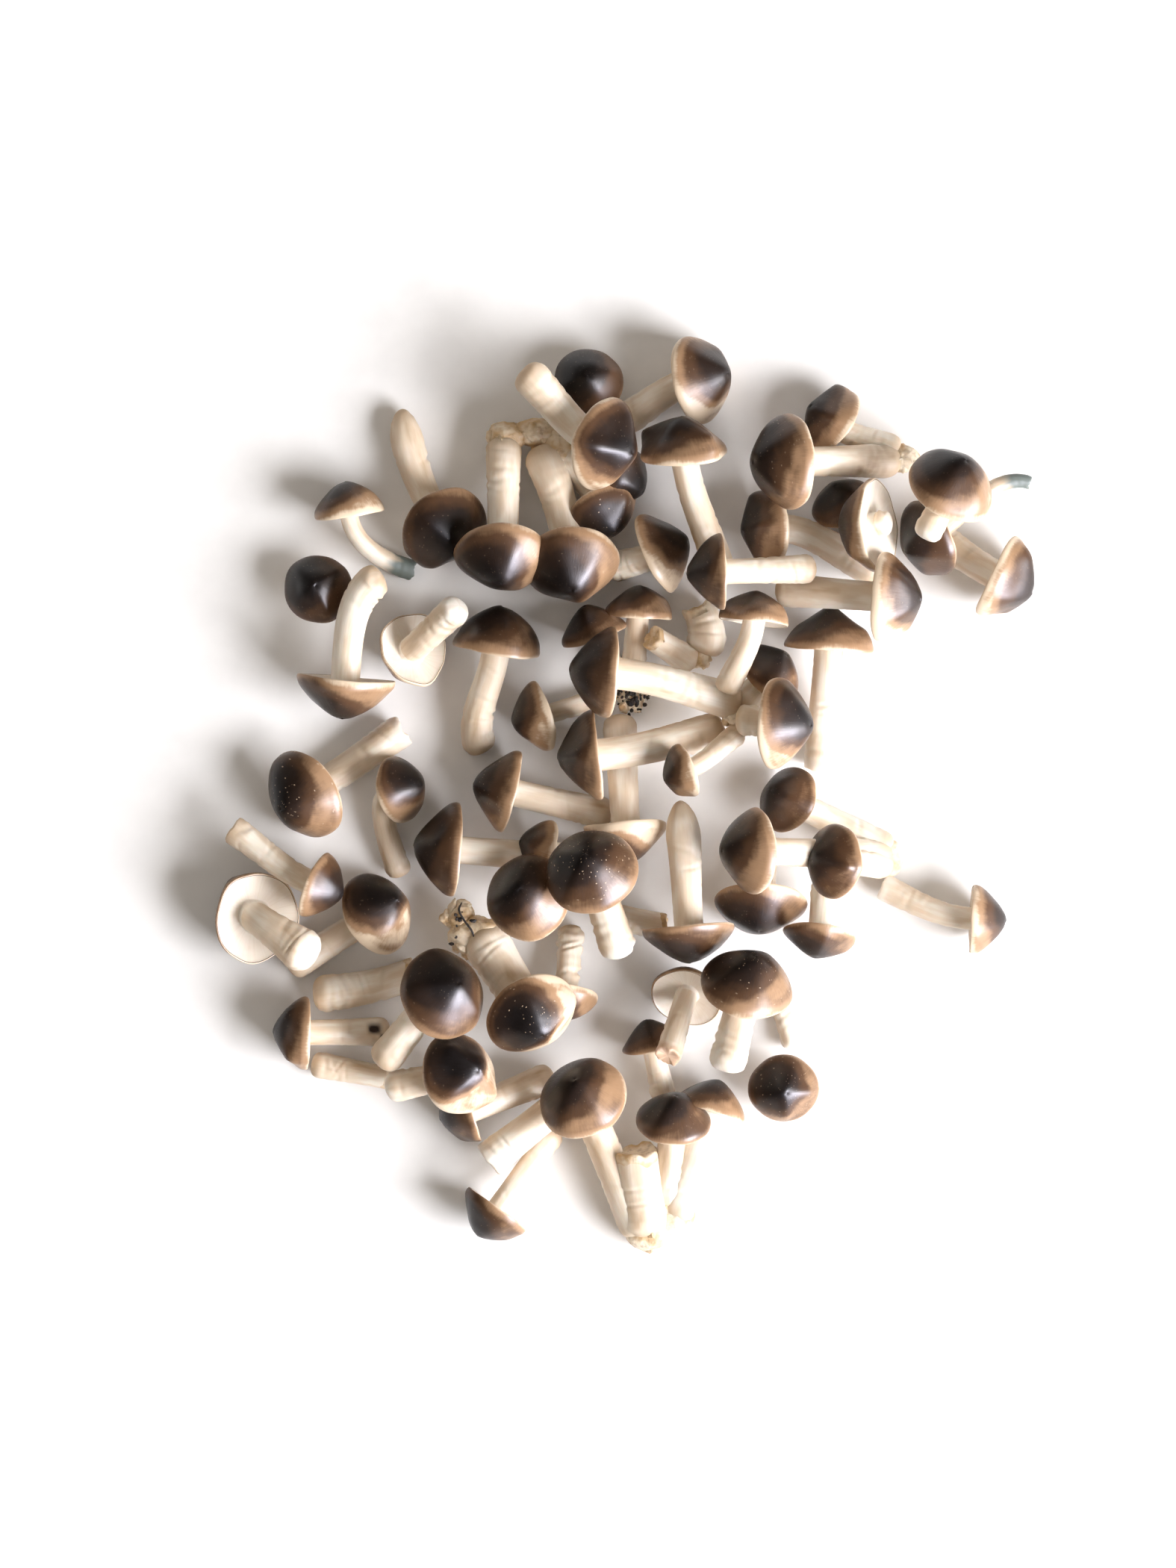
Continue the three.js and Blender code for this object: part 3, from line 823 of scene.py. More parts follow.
    def rot(self, outline: Outline, left: Array, over: Array) -> Array:
        """Two holes rotted into the top of the stem near the foot.

        Formula: each hole is a flat-topped bell curve along and round the stem, with its middle near where
        the stem faces up.

        Args:
            outline: The mushroom's rings.
            left: A direction across each ring.
            over: The direction across each ring square to it.

        Returns:
            The rot, from 0 to 1, rings by sides.
        """
        if not self.trait.rot_hole:
            return np.zeros_like(outline.swell)
        along = run(strides(outline.middles))[:, None] / MM
        top = np.arctan2(over[:, 2], left[:, 2])[:, None]
        stain = np.zeros_like(outline.swell)
        for place, aside, long, wide in ROT_SPOTS:
            around = np.angle(np.exp(1j * (self.turn - top - aside)))
            stain += np.exp(-np.abs((along - place) / long) ** 3 - np.abs(around / wide) ** 3)
        return np.clip(ROT_FILL * stain, 0, 1)

    def cap_outline(self) -> Outline:
        """The cap's rings from the stem to its point.

        Formula: smooth curves through the stages of the underside, the rim, the flank and the crown. The
        flank is a mean of a domed and a straight one. Ripeness grows with the distance from the rim.

        Returns:
            The rings.
        """
        cap, trait, rng = self.cap, self.trait, self.rng
        neck = NECK * self.stalk.half / cap.rim
        under = np.array(UNDERSIDE)
        under[:, 0] = neck + under[:, 0] * (1 - neck)
        under[-1, 0] = RIM[0][0]
        straight = np.clip(trait.cone + rng.uniform(-0.15, 0.15), 0, 1)
        flank = (1 - straight) * np.array(DOMED_FLANK) + straight * np.array(CONE_FLANK)
        stages = (
            (under, UNDER_RINGS, Zone.UNDERSIDE),
            (np.array(RIM), RIM_RINGS, Zone.CAP),
            (flank, FLANK_RINGS, Zone.CAP),
            (np.vstack([flank[-1:], CROWN]), CROWN_RINGS, Zone.CAP),
        )
        curves = [spline(knots, np.linspace(0, 1, count + 1)[1:]) for knots, count, _ in stages]
        zone = np.concatenate([np.full(count, kind) for _, count, kind in stages])
        out, up = np.vstack(curves).T
        high, narrow = POINT
        up = up + trait.point * high * np.exp(-((out / narrow) ** 2)) * (up > 0.2)
        deep, place, wide = WAIST
        out = out * (1 - trait.point * deep * np.exp(-(((out - place) / wide) ** 2)) * (up > 0.3))
        skin = zone == Zone.CAP
        steps = np.hypot(np.diff(out, prepend=out[0]), CAP_HEIGHT * np.diff(up, prepend=up[0]))
        arc = np.cumsum(np.where(skin, steps, 0))
        ripe = np.where(skin, arc / arc[-1], out)[:, None]
        ripe = np.broadcast_to(ripe, (len(ripe), len(self.turn)))
        swell, shift = self.cap_waves(out, up)
        middles = cap.base + up[:, None] * cap.height * cap.way
        ways = np.repeat(cap.way[None], len(up), 0)
        return Outline(middles, ways, out * cap.rim * ROUND, swell, shift, ripe, zone)

    def cap_waves(self, out: Array, up: Array) -> tuple[Array, Array]:
        """How the cap's rings vary.

        Formula: lobes in the radius, soft corners that fade from the flank to the rim and to the point,
        dents, and a wave of the rim and a slope of the point along the axis.

        Args:
            out: The radius of each ring over the rim's.
            up: The height of each ring over the cap's height.

        Returns:
            The relative change of the radius and the shift along the axis in metres, rings by sides.
        """
        rng, turn = self.rng, self.turn
        wide = np.clip(out, 0, 1)
        edge = np.clip((wide - 0.3) / 0.7, 0, 1)[:, None]
        upper = np.clip((up - 0.02) / 0.2, 0, 1)[:, None]
        corners = rng.uniform(0.6, 1.2) * facet_ring(rng, turn)[None]
        flank = RIM_CORNERS + (1 - RIM_CORNERS) * np.clip((1 - wide) / 0.35, 0, 1)
        flank = flank * np.clip(wide / 0.6, 0, 1)
        corners = corners * (upper * flank[:, None] + (1 - upper) * RIM_CORNERS * edge)
        lobes = waves(rng, turn, 0 * up, self.lobes * self.trait.wavy, (2, 3, 5, 8)) * edge
        dents = waves(rng, turn, 5 * up, self.dents, (1, 2, 4, 6)) * upper * np.sqrt(edge)
        wave = waves(rng, turn, 0 * up, self.wave * self.trait.wavy, (2, 3, 4, 7)) * edge**3
        slope = self.dents * np.cos(turn + rng.uniform(0, 6))[None] * np.exp(-((wide / 0.25) ** 2))[:, None]
        return corners + lobes + dents, (0.6 * wave + slope * upper) * self.cap.height


def single(name: str) -> Mushroom:
    """Reads one mushroom, or one broken stem, from its solid.

    Args:
        name: The node.

    Returns:
        The mushroom.
    """
    solid = Solid(name)
    trait = TRAITS.get(name, Trait())
    tops = [(pole, solid.rings(pole)) for pole in solid.poles()]

    def spread(item: tuple[int, list[Array]]) -> float:
        """How much wider the second ring is than the first."""
        first, second = (reach(ring).mean() for ring in item[1][:2])
        return second / first

    def stoutness(item: tuple[int, list[Array]]) -> float:
        """The radius of the widest of the first three rings."""
        return max(float(reach(ring).mean()) for ring in item[1][:3])

    pole, rings = max(tops, key=spread)
    has_cap = len(rings) > CAP_RINGS + 2
    if not has_cap:
        pole, rings = min(tops, key=stoutness)
    stem = rings[CAP_RINGS:] if has_cap else rings
    middles = np.array([ring.mean(0) for ring in stem])
    widths = np.array([np.median(reach(ring)) for ring in stem])
    start = unit(middles[-2] - middles[-1])
    if has_cap:
        cap = Cap.under(solid.points[pole], rings[0])
        half = widths[0] / NECK
        top, way = cap.base, cap.way
    else:
        cap = None
        half = widths[1] / BROKEN_NECK
        top = solid.points[pole]
        way = unit(top - middles[0])
    foot = middles[-1] - FOOT_STEP * half * start
    return Mushroom(name, Stalk(foot, start, top, way, half, widths[-2] / half), cap, trait)


# ---- clumps ----


@dataclass(frozen=True)
class Member:
    """A mushroom of a clump, seen from above in millimetres, as the solids were laid out.

    Attributes:
        cap: Middle of the cap, or the thin end of a broken stem.
        foot: Middle of the foot.
        stem: Thickness of the stem.
        lift: Degrees by which the cap stands up from the stem's slope.
        turn: Degrees by which the cap is turned from the stem's line.
        kick: Degrees by which the foot is turned from it.
        broken: True for a stem without a cap.
        rise: Degrees by which its stem rises, for one whose end is cut into by another.
        width: Width of such a one's cap.
        trait: What tells it from the others.
    """

    cap: tuple[float, float]
    foot: tuple[float, float]
    stem: float
    lift: float = -9
    turn: float = 0
    kick: float = 0
    broken: bool = False
    rise: float = 0
    width: float = 0
    trait: Trait = Trait()

    def stalk(self, foot: Array, rise: float, top: Array, way: Array) -> Stalk:
        """Its stem, from the place of its foot and the angle at which it rises."""
        angle = math.atan2(self.cap[1] - self.foot[1], self.cap[0] - self.foot[0])
        return Stalk(foot, heading(angle + math.radians(self.kick), rise), top, way, self.stem * MM / 2)

    def laid(self, shift: Array) -> tuple[Stalk, Cap | None]:
        """Works the stem and the cap out from the layout alone.

        Args:
            shift: From the layout to the clump's place.

        Returns:
            Its stem and its cap.
        """
        rise = math.radians(self.rise)
        chord = np.array(self.cap) - self.foot
        angle = math.atan2(chord[1], chord[0])
        foot = np.array([*self.foot, 0]) * MM + shift
        middle = foot + heading(angle, rise) * np.linalg.norm(chord) * MM / math.cos(rise)
        way = heading(angle + math.radians(self.turn), rise + math.radians(self.lift))
        if self.broken:
            return self.stalk(foot, rise, middle, way), None
        rim = self.width * MM / 2
        cap = Cap(middle - way * CAP_HEIGHT * rim / 2, way, rim, CAP_HEIGHT * rim)
        return self.stalk(foot, rise, cap.base, way), cap


@dataclass(frozen=True)
class Knob:
    """A knob of torn flesh at a clump's base, placed and measured in millimetres."""

    at: tuple[float, float]
    size: Triple


KNOB_SIDES = 56
LUMP_SIDES = 26
CRUMB_SIDES = 12
THREAD_THICK = 0.9  # in millimetres
FOLDS = ((0.16, 1.6), (0.12, 3.1), (0.07, 6.3), (0.035, 12.0))  # height over the radius, and how many


def lump(rng: Random, middle: Array, half: Array, rough: float, zone: Zone, sides: int) -> Skin:
    """A lump with folds all over it.

    Formula: an ellipsoid whose radius is raised by folds of four sizes, each one less twice the mean height
    of three sine waves that cross the lump in random directions, without their sign.

    Args:
        rng: The lump's random numbers.
        middle: Its middle.
        half: Its half sizes.
        rough: How far the folds stand out.
        zone: Its skin.
        sides: How many sides it has.

    Returns:
        Its closed surface.
    """
    turn = np.linspace(0, 2 * math.pi, sides, endpoint=False)
    slope = np.linspace(0.06, math.pi - 0.06, sides // 2)[:, None]
    wide = np.sin(slope)
    ball = np.stack(np.broadcast_arrays(wide * np.cos(turn), wide * np.sin(turn), -np.cos(slope)), -1)
    folds = np.zeros(ball.shape[:2])
    for height, number in FOLDS:
        wave = np.sin(number * ball @ unit(rng.normal(size=(3, 3))).T + rng.uniform(0, 2 * math.pi, 3))
        folds += height * (1 - 2 * np.abs(wave).mean(-1))
    rings = middle + ball * half * (1 + rough * folds)[..., None]
    flat = np.zeros(folds.shape)
    return Skin(rings, np.full(len(rings) - 1, zone), 2 * ball, flat, flat)


def strand(knots: Array) -> Skin:
    """A dark thread of mould or root.

    Formula: circles of one size, thinner near both ends, along a smooth curve.

    Args:
        knots: The points that the curve goes through.

    Returns:
        Its closed surface.
    """
    share = np.linspace(0, 1, 24)
    middles = spline(knots, share)
    left, over = ring_frames(middles, unit(np.gradient(middles, axis=0)))
    turn = np.linspace(0, 2 * math.pi, 10, endpoint=False)
    across = spokes(turn, left, over)
    radii = THREAD_THICK * MM / 2 * (1 - 0.6 * np.abs(2 * share - 1) ** 5)
    rings = middles[:, None] + radii[:, None, None] * across
    flat = np.zeros(rings.shape[:2])
    return Skin(rings, np.full(len(rings) - 1, Zone.SOIL), rings / MM, flat, flat)


@dataclass
class Clump:
    """Mushrooms that still grow together from a torn base.

    Attributes:
        name: The node.
        knobs: The knobs of the base.
        members: Its mushrooms.
        rough: How ragged the base is.
        crumbs: How many crumbs of soil cling to the base.
        thread: The points of a dark thread over the base, or none.
    """

    name: str
    knobs: list[Knob]
    members: list[Member]
    rough: float = 1.0
    crumbs: int = 0
    thread: tuple[Triple, ...] = ()

    def place(self, solid: Solid, member: Member) -> tuple[Stalk, Cap | None]:
        """Finds a member in the clump's solid.

        Formula: the whole round rings nearest to where the member's cap lies give the cap. Its slope, less
        the cap's own lift, is the stem's, and the foot lies the known way off down that slope.

        Args:
            solid: The clump's solid.
            member: The member's layout.

        Returns:
            Its stem and its cap.
        """
        found = []
        for pole in solid.poles():
            point, ring = solid.points[pole], solid.points[solid.joined[pole]]
            cap = None if member.broken else Cap.under(point, ring)
            found.append((cap.middle(), cap.way, cap) if cap else (point, unit(point - ring.mean(0)), None))
        target = np.array(member.cap) * MM
        middle, way, cap = min(found, key=lambda item: np.linalg.norm(item[0][:2] - target))
        chord = (np.array(member.foot) - np.array(member.cap)) * MM
        rise = math.asin(float(way[2])) - math.radians(0 if member.broken else member.lift)
        length = float(np.linalg.norm(chord))
        foot = middle + np.array([chord[0], chord[1], -math.tan(rise) * length])
        return member.stalk(foot, rise, middle if cap is None else cap.base, way), cap

    def skins(self) -> list[Skin]:
        """Draws the members and the base.

        Returns:
            Their closed surfaces.
        """
        solid = Solid(self.name)
        whole = [member for member in self.members if not member.rise]
        feet = [self.place(solid, member)[0].foot - np.array([*member.foot, 0]) * MM for member in whole]
        shift = np.mean(feet, axis=0)
        drawn = []
        for index, member in enumerate(self.members):
            stalk, cap = member.laid(shift) if member.rise else self.place(solid, member)
            drawn.append(Mushroom(f"{self.name} {index}", stalk, cap, member.trait).skin())
        return drawn + self.base(shift)

    def base(self, shift: Array) -> list[Skin]:
        """The torn base.

        Formula: each knob is a lump with smaller lumps half sunk into its sides at random, and crumbs of
        soil mostly on its upper half. The thread lies over them.

        Args:
            shift: From the layout to the clump's place.

        Returns:
            The lumps, the crumbs and the thread.
        """
        rng = dice(self.name)
        made = []
        for knob in self.knobs:
            middle = np.array([*knob.at, 0]) * MM + shift
            half = np.array(knob.size) * MM / 2
            made.append(lump(rng, middle, half * 0.95, self.rough, Zone.TORN, KNOB_SIDES))
            for way in unit(rng.normal(size=(round(7 * self.rough), 3))):
                size = half.mean() * rng.uniform(0.25, 0.6, 3)
                made.append(lump(rng, middle + way * half * 0.7, size, 1.7, Zone.TORN, LUMP_SIDES))
            for way in unit(rng.normal(size=(self.crumbs, 3)) + (0, 0, 1.6)):
                size = rng.uniform(0.3, 1.5) * MM * rng.uniform(0.6, 1.1, 3)
                made.append(lump(rng, middle + way * half * 1.02, size, 1.6, Zone.SOIL, CRUMB_SIDES))
        if self.thread:
            made.append(strand(np.array(self.thread) * MM + shift))
        return made


DARK = Trait(Shade.DARK, cone=0.6)
WARM = Trait(Shade.WARM)
# The clumps as they were laid out, in millimetres seen from above.
CLUMPS = [
    Clump("clump_left", [Knob((-18, -26), (13, 13, 10))], [
        Member((-37, -20), (-18, -26), 9, rise=30.5, width=24, trait=WARM),
        Member((-76, -21), (-18, -26), 12, trait=DARK),
    ]),
    Clump("clump_middle", [Knob((-66, -50), (14, 14, 13)), Knob((-59, -57), (24, 20, 18))], [
        Member((-35, -92), (-57, -57), 18, lift=22, trait=Trait(Shade.TAN, specks=0.7, painted_light_gain=2.4)),
    ], crumbs=6, thread=((-65, -44, 4), (-66, -47, 7), (-64, -51, 8), (-61, -55, 9.5), (-60, -58, 8))),
    Clump("clump_top", [
        Knob((-46, 142), (18, 14, 13)), Knob((-35, 144), (20, 13, 13)), Knob((-25, 138), (20, 20, 14)),
    ], [
        Member((-48, 89), (-47, 141), 13.5, lift=18),
        Member((4, 123), (-22, 140), 10, lift=12, trait=Trait(Shade.BLACK)),
        Member((-5, 109), (-23, 138), 11, lift=24, trait=Trait(specks=0.6)),
        Member((-20, 86), (-33, 137), 14.5, lift=26, turn=-10, kick=10),
    ], rough=0.8),
    Clump("clump_small", [Knob((3, 39), (14, 16, 10))], [
        Member((6, 77), (3, 43), 10),
        Member((-14, 69), (0, 44), 9.5, turn=-10, trait=DARK),
    ], crumbs=90),
    Clump("clump_stems", [Knob((29, 54), (13, 11, 9))], [
        Member((27, 77), (32, 56), 15, turn=30, kick=-30, broken=True, trait=Trait(wrinkles=1.1)),
        Member((9, 63), (27, 52), 11, broken=True, trait=Trait(wrinkles=1.1)),
    ]),
    Clump("clump_centre", [Knob((46, 31), (14, 14, 13))], [
        Member((-14, 48), (45, 36), 14, turn=8, trait=DARK),
        Member((20, 7), (46, 24), 8.5, turn=-12, trait=WARM),
        Member((61, 51), (46, 34), 11, lift=40, trait=DARK),
    ]),
    Clump("clump_right_low", [Knob((101, 89), (14, 14, 12))], [
        Member((53, 105), (101, 89), 12.5, turn=24, lift=8),
        Member((86, 119), (101, 89), 10, lift=30, trait=DARK),
    ]),
    Clump("clump_right_high", [Knob((111, 134), (16, 13, 12))], [
        Member((79, 151), (109, 137), 10.5, turn=-12, lift=12),
        Member((58, 131), (108, 133), 13, lift=-6, trait=Trait(specks=0.3)),
    ]),
    Clump("clump_right_side", [Knob((105, -25), (15, 18, 12))], [
        Member((45, -22), (105, -24), 12),
        Member((62, 0), (106, -22), 11.5, lift=30, trait=DARK),
        Member((79, -26), (105, -28), 11, lift=-6, rise=47.5, width=30, trait=DARK),
    ], rough=0.25),
    Clump("clump_low", [Knob((9, -176), (21, 17, 15)), Knob((20, -169), (18, 18, 15))], [
        Member((4, -139), (9, -176), 19, lift=0, broken=True, rise=15.5, trait=Trait(wrinkles=0.6)),
        Member((36, -121), (20, -171), 13),
        Member((20, -126), (17, -165), 12, lift=12, trait=DARK),
        Member((-18, -118), (6, -176), 14, lift=34),
    ], rough=0.7),
]


# ---- finishes ----


class Wiring:
    """Builds one material's nodes."""

    def __init__(self, name: str) -> None:
        """Starts a material that has only its shader and output."""
        self.material = bpy.data.materials.new(name)
        self.material.use_nodes = True

    def feed(self, node: Node, inputs: Feeds) -> None:
        """Sets a node's inputs.

        Args:
            node: The node.
            inputs: For each input a number, a colour or vector, or the socket that is joined to it.
        """
        for label, value in inputs.items():
            socket = node.inputs[label]
            if isinstance(value, Socket):
                self.material.node_tree.links.new(value, socket)
            else:
                socket.default_value = (*value, 1) if socket.type == "RGBA" else value

    def node(self, kind: str, inputs: Feeds, out: str | int, **settings: str) -> Socket:
        """Adds a node.

        Args:
            kind: Its kind.
            inputs: What its inputs get.
            out: The output that is wanted.
            settings: Its other settings.

        Returns:
            The output.
        """
        made = self.material.node_tree.nodes.new(kind)
        for label, value in settings.items():
            setattr(made, label, value)
        self.feed(made, inputs)
        return made.outputs[out]

    def shader(self, inputs: Feeds) -> None:
        """Sets the inputs of the material's shader."""
        self.feed(self.material.node_tree.nodes["Principled BSDF"], inputs)

    def attribute(self, name: str, out: str) -> Socket:
        """Reads one of the mesh's own attributes, as a Vector or a Fac."""
        return self.node("ShaderNodeAttribute", {}, out, attribute_name=name)

    def trait(self, axis: str) -> Socket:
        """Reads a trait of the mushroom: X is its shade, Y its specks and Z its foot's tint."""
        return self.node("ShaderNodeSeparateXYZ", {0: self.attribute("trait", "Vector")}, axis)

    def place(self) -> Socket:
        """Where a point lies, in metres."""
        return self.node("ShaderNodeTexCoord", {}, "Object")

    def grain(self, scale: Triple) -> Socket:
        """The coordinates that follow the surface, times a scale on each axis."""
        grain = self.attribute("grain", "Vector")
        return self.node("ShaderNodeMapping", {"Vector": grain, "Scale": scale}, "Vector")

    def noise(self, vector: Socket, scale: float, detail: float, rough: float = 0.5) -> Socket:
        """Noise from 0 to 1."""
        inputs = {"Vector": vector, "Scale": scale, "Detail": detail, "Roughness": rough}
        return self.node("ShaderNodeTexNoise", inputs, "Fac")

    def math(self, kind: str, a: Feed, b: Feed, c: float = 0.0) -> Socket:
        """A sum on two or three numbers or sockets."""
        return self.node("ShaderNodeMath", {0: a, 1: b, 2: c}, 0, operation=kind)

    def stirred(self, value: Socket, noise: Socket, span: float) -> Socket:
        """A value that noise stirs, by half the span up and down."""
        return self.math("ADD", value, self.math("MULTIPLY_ADD", noise, span, -span / 2))

    def between(self, value: Socket, low: float, high: float, first: float = 0, last: float = 1) -> Socket:
        """A value mapped from low and high to first and last, smoothly, and held there."""
        inputs = {"Value": value, "From Min": low, "From Max": high, "To Min": first, "To Max": last}
        return self.node("ShaderNodeMapRange", inputs, "Result", interpolation_type="SMOOTHSTEP")

    def ramp(self, value: Socket, stops: list[tuple[float, Rgb]]) -> Socket:
        """A colour for each value.

        Args:
            value: The value.
            stops: The place and the colour of each stop.

        Returns:
            The colour.
        """
        made = self.material.node_tree.nodes.new("ShaderNodeValToRGB")
        made.color_ramp.interpolation = "EASE"
        elements = made.color_ramp.elements
        while len(elements) < len(stops):
            elements.new(0.5)
        for element, (place, colour) in zip(elements, stops):
            element.position = place
            element.color = (*colour, 1)
        self.feed(made, {"Fac": value})
        return made.outputs["Color"]

    def mix(self, share: Socket, a: Feed, b: Feed) -> Socket:
        """A colour b laid over a colour a, by a share."""
        return self.node("ShaderNodeMix", {0: share, 6: a, 7: b}, 2, data_type="RGBA")

    def wash(self, colour: Feed, tone: Rgb, value: Socket, low: float, high: float, most: float) -> Socket:
        """A tone laid over a colour by at most a share, as a value goes from low to high."""
        return self.mix(self.math("MULTIPLY", self.between(value, low, high), most), colour, tone)

    def bump(self, height: Socket, strength: float, depth: float) -> Socket:
        """The normal of a surface that a height raises, by a depth in metres."""
        inputs = {"Height": height, "Strength": strength, "Distance": depth}
        return self.node("ShaderNodeBump", inputs, "Normal")


def glow(share: float, depth: float) -> Feeds:
    """The shader's inputs for light that goes under the skin, to a depth in metres."""
    return {"Subsurface Weight": share, "Subsurface Radius": (1.0, 0.6, 0.4), "Subsurface Scale": depth}


@dataclass(frozen=True)
class CapSkin:
    """Satin cap skin: near black at the point, brown and tan on the flank and cream at the rim."""

    edge: Rgb = (0.74, 0.60, 0.45)
    tan: Rgb = (0.37, 0.225, 0.128)
    brown: Rgb = (0.09, 0.044, 0.021)
    dark: Rgb = (0.025, 0.013, 0.008)
    point: Rgb = (0.008, 0.005, 0.004)
    speck: Rgb = (0.50, 0.37, 0.26)

    def material(self) -> Material:
        """Builds the finish.

        Returns:
            The material.
        """
        wire = Wiring("cap skin")
        # The ripe attribute carries the cap's rim-to-point tone together with its painted light and painted
        # shade.
        ripe = wire.attribute("ripe", "Fac")
        cloud = wire.noise(wire.grain((1.0, 1.0, 0.8)), 1.3, 3)
        fibres = wire.noise(wire.grain((20, 20, 1.6)), 1.0, 5, 0.6)
        place = wire.stirred(ripe, cloud, 0.36)
        place = wire.math("ADD", place, wire.math("MULTIPLY", wire.trait("X"), -0.24))
        place = wire.stirred(place, fibres, 0.1)
        tones = (self.edge, self.tan, self.brown, self.dark, self.point)
        colour = wire.ramp(place, list(zip(CAP_STOPS, tones)))
        rim = wire.between(wire.stirred(ripe, cloud, 0.08), 0.01, 0.07)
        colour = wire.mix(rim, self.edge, colour)
        dots = {"Vector": wire.grain((4.5, 4.5, 4.0)), "Scale": 1.0}
        apart = wire.node("ShaderNodeTexVoronoi", dots, "Distance", feature="F1")
        patch = wire.between(cloud, 0.36, 0.52)
        dot = wire.math("MULTIPLY", wire.between(apart, 0.08, 0.19, 1, 0), patch)
        dot = wire.math("MULTIPLY", dot, wire.trait("Y"))
        height = wire.math("ADD", wire.math("MULTIPLY", fibres, 0.5), wire.math("MULTIPLY", dot, 0.9))
        wire.shader({
            "Base Color": wire.mix(dot, colour, self.speck),
            "Roughness": wire.between(fibres, 0.2, 0.8, 0.32, 0.46),
            "Normal": wire.bump(height, 0.35, 0.3 * MM),
            "Specular IOR Level": 0.3,
            "Coat Weight": 0.28,
            "Coat Roughness": 0.4,
        })
        return wire.material


@dataclass(frozen=True)
class StemFlesh:
    """Ivory stem flesh with faint lengthwise fibres, bruised tan in patches, and a tinted foot."""

    ivory: Rgb = (0.85, 0.79, 0.70)
    cream: Rgb = (0.71, 0.59, 0.46)
    tan: Rgb = (0.48, 0.33, 0.19)
    white: Rgb = (0.86, 0.83, 0.78)
    flesh: Rgb = (0.62, 0.36, 0.22)
    grey: Rgb = (0.13, 0.17, 0.165)
    rot: Rgb = (0.035, 0.02, 0.016)

    def material(self) -> Material:
        """Builds the finish.

        Returns:
            The material.
        """
        wire = Wiring("stem flesh")
        tint = wire.trait("Z")
        cloud = wire.noise(wire.grain((0.9, 0.9, 0.35)), 1.0, 3)
        fibres = wire.noise(wire.grain((12, 12, 0.6)), 1.0, 5, 0.62)
        colour = wire.ramp(cloud, [(0.34, self.ivory), (0.56, self.cream), (0.8, self.tan)])
        colour = wire.wash(colour, self.tan, fibres, 0.35, 0.75, 0.12)
        grey = wire.between(tint, 0.8, 1.0)
        uneven = wire.stirred(wire.attribute("ripe", "Fac"), cloud, 0.3)
        uneven = wire.math("ADD", uneven, wire.math("MULTIPLY", grey, -0.16))
        tones = (self.white, self.tan, self.flesh, self.grey)
        foot = wire.ramp(tint, [(stop.value, tone) for stop, tone in zip(Tint, tones)])
        strength = wire.math("MULTIPLY_ADD", grey, 0.35, 0.6)
        share = wire.math("MULTIPLY", wire.between(uneven, 0.02, 0.16, 1, 0), strength)
        colour = wire.mix(share, colour, foot)
        wire.shader({
            "Base Color": wire.mix(wire.attribute("stain", "Fac"), colour, self.rot),
            "Roughness": wire.between(fibres, 0.2, 0.8, 0.5, 0.66),
            "Normal": wire.bump(fibres, 0.2, 0.3 * MM),
            **glow(0.25, 2.0 * MM),
        })
        return wire.material


@dataclass(frozen=True)
class Veil:
    """The cap's pale underside, closed by a smooth veil with faint folds from the stem to the rim."""

    pale: Rgb = (0.84, 0.77, 0.68)
    fold: Rgb = (0.60, 0.46, 0.33)

    def material(self) -> Material:
        """Builds the finish.

        Returns:
            The material.
        """
        wire = Wiring("veil")
        folds = wire.noise(wire.grain((16, 16, 0.2)), 1.0, 3)
        cloud = wire.noise(wire.grain((1.5, 1.5, 1.0)), 1.0, 3)
        colour = wire.wash(self.pale, self.fold, folds, 0.45, 0.75, 0.2)
        wire.shader({
            "Base Color": wire.wash(colour, self.fold, cloud, 0.5, 0.8, 0.35),
            "Roughness": wire.between(cloud, 0.2, 0.8, 0.5, 0.65),
            "Normal": wire.bump(folds, 0.25, 0.3 * MM),
            **glow(0.2, 1.5 * MM),
        })
        return wire.material


@dataclass(frozen=True)
class TornFlesh:
    """Ragged torn flesh of a base: cream and ochre, brown in its folds."""

    cream: Rgb = (0.80, 0.69, 0.54)
    ochre: Rgb = (0.56, 0.38, 0.20)
    brown: Rgb = (0.22, 0.14, 0.085)

    def material(self) -> Material:
        """Builds the finish.

        Returns:
            The material.
        """
        wire = Wiring("torn flesh")
        lumps = wire.noise(wire.place(), 340, 6, 0.6)
        cloud = wire.noise(wire.place(), 110, 3)
        colour = wire.ramp(cloud, [(0.4, self.cream), (0.62, self.ochre), (0.85, self.brown)])
        wire.shader({
            "Base Color": wire.wash(colour, self.brown, lumps, 0.52, 0.72, 0.5),
            "Roughness": wire.between(lumps, 0.2, 0.8, 0.55, 0.75),
            "Normal": wire.bump(lumps, 0.7, 0.8 * MM),
            **glow(0.15, 1.5 * MM),
        })
        return wire.material


@dataclass(frozen=True)
class Soil:
    """Dark damp crumbs of soil."""

    dark: Rgb = (0.012, 0.010, 0.009)
    brown: Rgb = (0.05, 0.035, 0.025)

    def material(self) -> Material:
        """Builds the finish.

        Returns:
            The material.
        """
        wire = Wiring("soil")
        crumbs = wire.noise(wire.place(), 900, 5, 0.6)
        wire.shader({
            "Base Color": wire.ramp(crumbs, [(0.4, self.dark), (0.7, self.brown)]),
            "Roughness": wire.between(crumbs, 0.2, 0.8, 0.7, 0.95),
            "Normal": wire.bump(crumbs, 0.8, 0.4 * MM),
        })
        return wire.material


# ---- the studio ----


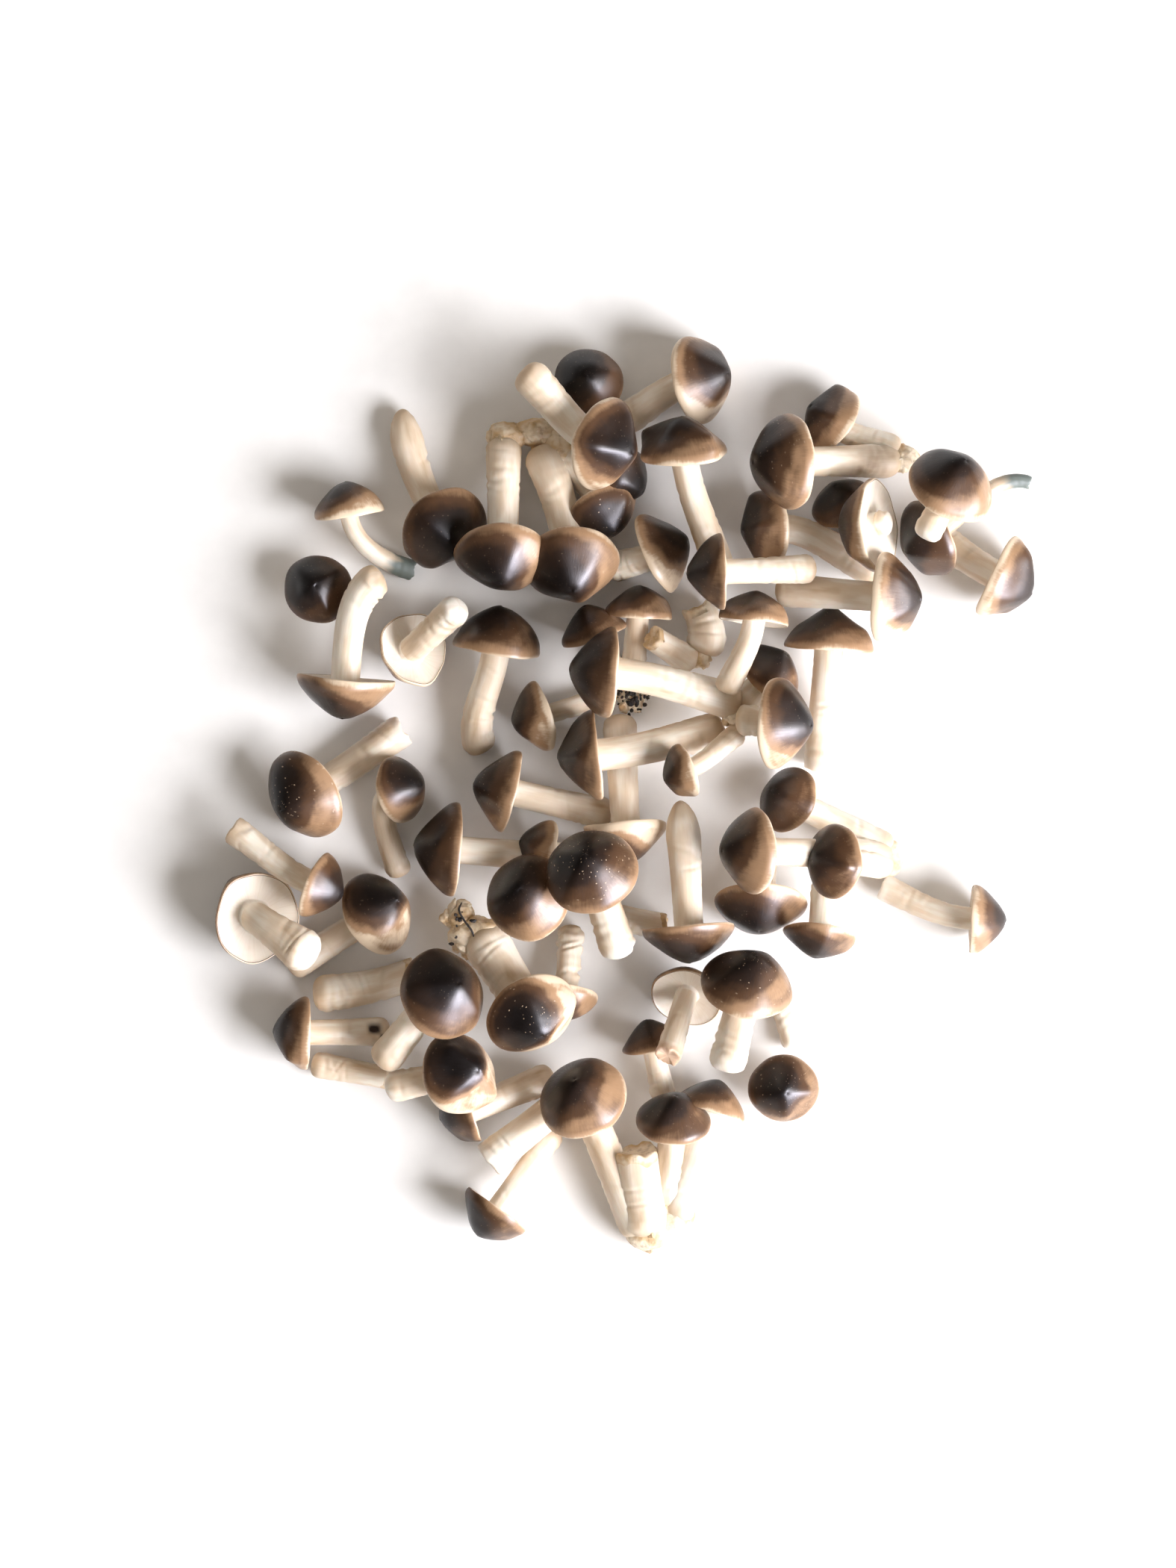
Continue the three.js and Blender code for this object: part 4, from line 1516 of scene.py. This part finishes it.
@dataclass(frozen=True)
class Lamp:
    """A square soft light: its place and size in metres, its power in watts and what it reaches."""

    name: str
    at: Triple
    size: float
    watts: float
    colour: Rgb
    glossy: bool = True
    diffuse: bool = True

    def build(self) -> None:
        """Puts it up, aimed at the heap."""
        data = bpy.data.lights.new(self.name, "AREA")
        data.shape = "SQUARE"
        data.size = self.size
        data.energy = self.watts
        data.color = self.colour
        lamp = shown(self.name, data)
        lamp.location = self.at
        lamp.rotation_euler = (-Vector(self.at)).to_track_quat("-Z", "Y").to_euler()
        lamp.visible_glossy = self.glossy
        lamp.visible_diffuse = self.diffuse


LAMPS = (
    Lamp("window", (2.5, -1.2, 1.7), 2.2, 290, (0.96, 0.95, 0.96)),
    Lamp("room", (-0.9, 0.7, 1.4), 1.6, 3, (1.0, 0.9, 0.8), glossy=False),
    Lamp("sheen", (1.5, -1.1, 1.1), 1.2, 150, (0.84, 0.82, 1.0), diffuse=False),
)


@dataclass
class Studio:
    """A pale floor, soft lights and a camera that looks straight down on the heap."""

    view_height: float = 0.63
    camera_at: tuple[float, float] = (-0.0142, 0.0038)
    camera_up: float = 3.0
    sensor: float = 36.0
    floor_side: float = 6.0

    def floor(self, finish: Material) -> Piece:
        """A square floor just under the heap.

        Args:
            finish: Its material.

        Returns:
            The floor.
        """
        side = self.floor_side / 2
        mesh = bpy.data.meshes.new("floor")
        drop = -0.1 * MM
        corners = [(-side, -side, drop), (side, -side, drop), (side, side, drop), (-side, side, drop)]
        mesh.from_pydata(corners, [], [(0, 1, 2, 3)])
        mesh.materials.append(finish)
        return shown("floor", mesh)

    def floor_finish(self) -> Material:
        """Pale matt board with a faint grain.

        Returns:
            The material.
        """
        wire = Wiring("floor board")
        grain = wire.noise(wire.place(), 60, 4)
        wire.shader({
            "Base Color": wire.ramp(grain, [(0.3, (0.84, 0.84, 0.85)), (0.7, (0.88, 0.88, 0.89))]),
            "Roughness": wire.between(grain, 0.2, 0.8, 0.8, 0.9),
        })
        return wire.material

    def camera(self) -> None:
        """The camera: its long side takes in view_height at the floor."""
        data = bpy.data.cameras.new("camera")
        data.sensor_width = self.sensor
        data.lens = self.sensor * self.camera_up / self.view_height
        data.clip_start = 0.05
        data.clip_end = 50
        made = shown("camera", data)
        made.location = (*self.camera_at, self.camera_up)
        bpy.context.scene.camera = made

    def build(self) -> None:
        """Sets the stage up."""
        floor = self.floor(self.floor_finish())
        for lamp in LAMPS:
            lamp.build()
        world = bpy.data.worlds.new("studio")
        world.use_nodes = True
        background = world.node_tree.nodes["Background"]
        background.inputs["Color"].default_value = (1.0, 0.9, 0.78, 1)
        background.inputs["Strength"].default_value = 0.32
        world.cycles_visibility.glossy = False
        bpy.context.scene.world = world
        bpy.context.scene.view_settings.view_transform = "Standard"
        self.camera()


# ---- main ----


def main() -> None:
    """Builds the heap and the studio, and reports each piece."""
    logging.basicConfig(level=logging.INFO, format="%(message)s")
    finishes = [finish().material() for finish in (StemFlesh, Veil, CapSkin, TornFlesh, Soil)]
    clumps = {clump.name: clump for clump in CLUMPS}
    for name in sorted(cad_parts):
        mesh = Mesh()
        for skin in clumps[name].skins() if name in clumps else [single(name).skin()]:
            mesh.add(skin)
        piece = mesh.write(name + "_flesh", finishes)
        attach(piece, "root")
        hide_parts(name)
        LOG.info("%s: %d points", piece.name, mesh.count)
    Studio().build()


if __name__ == "__main__":
    main()
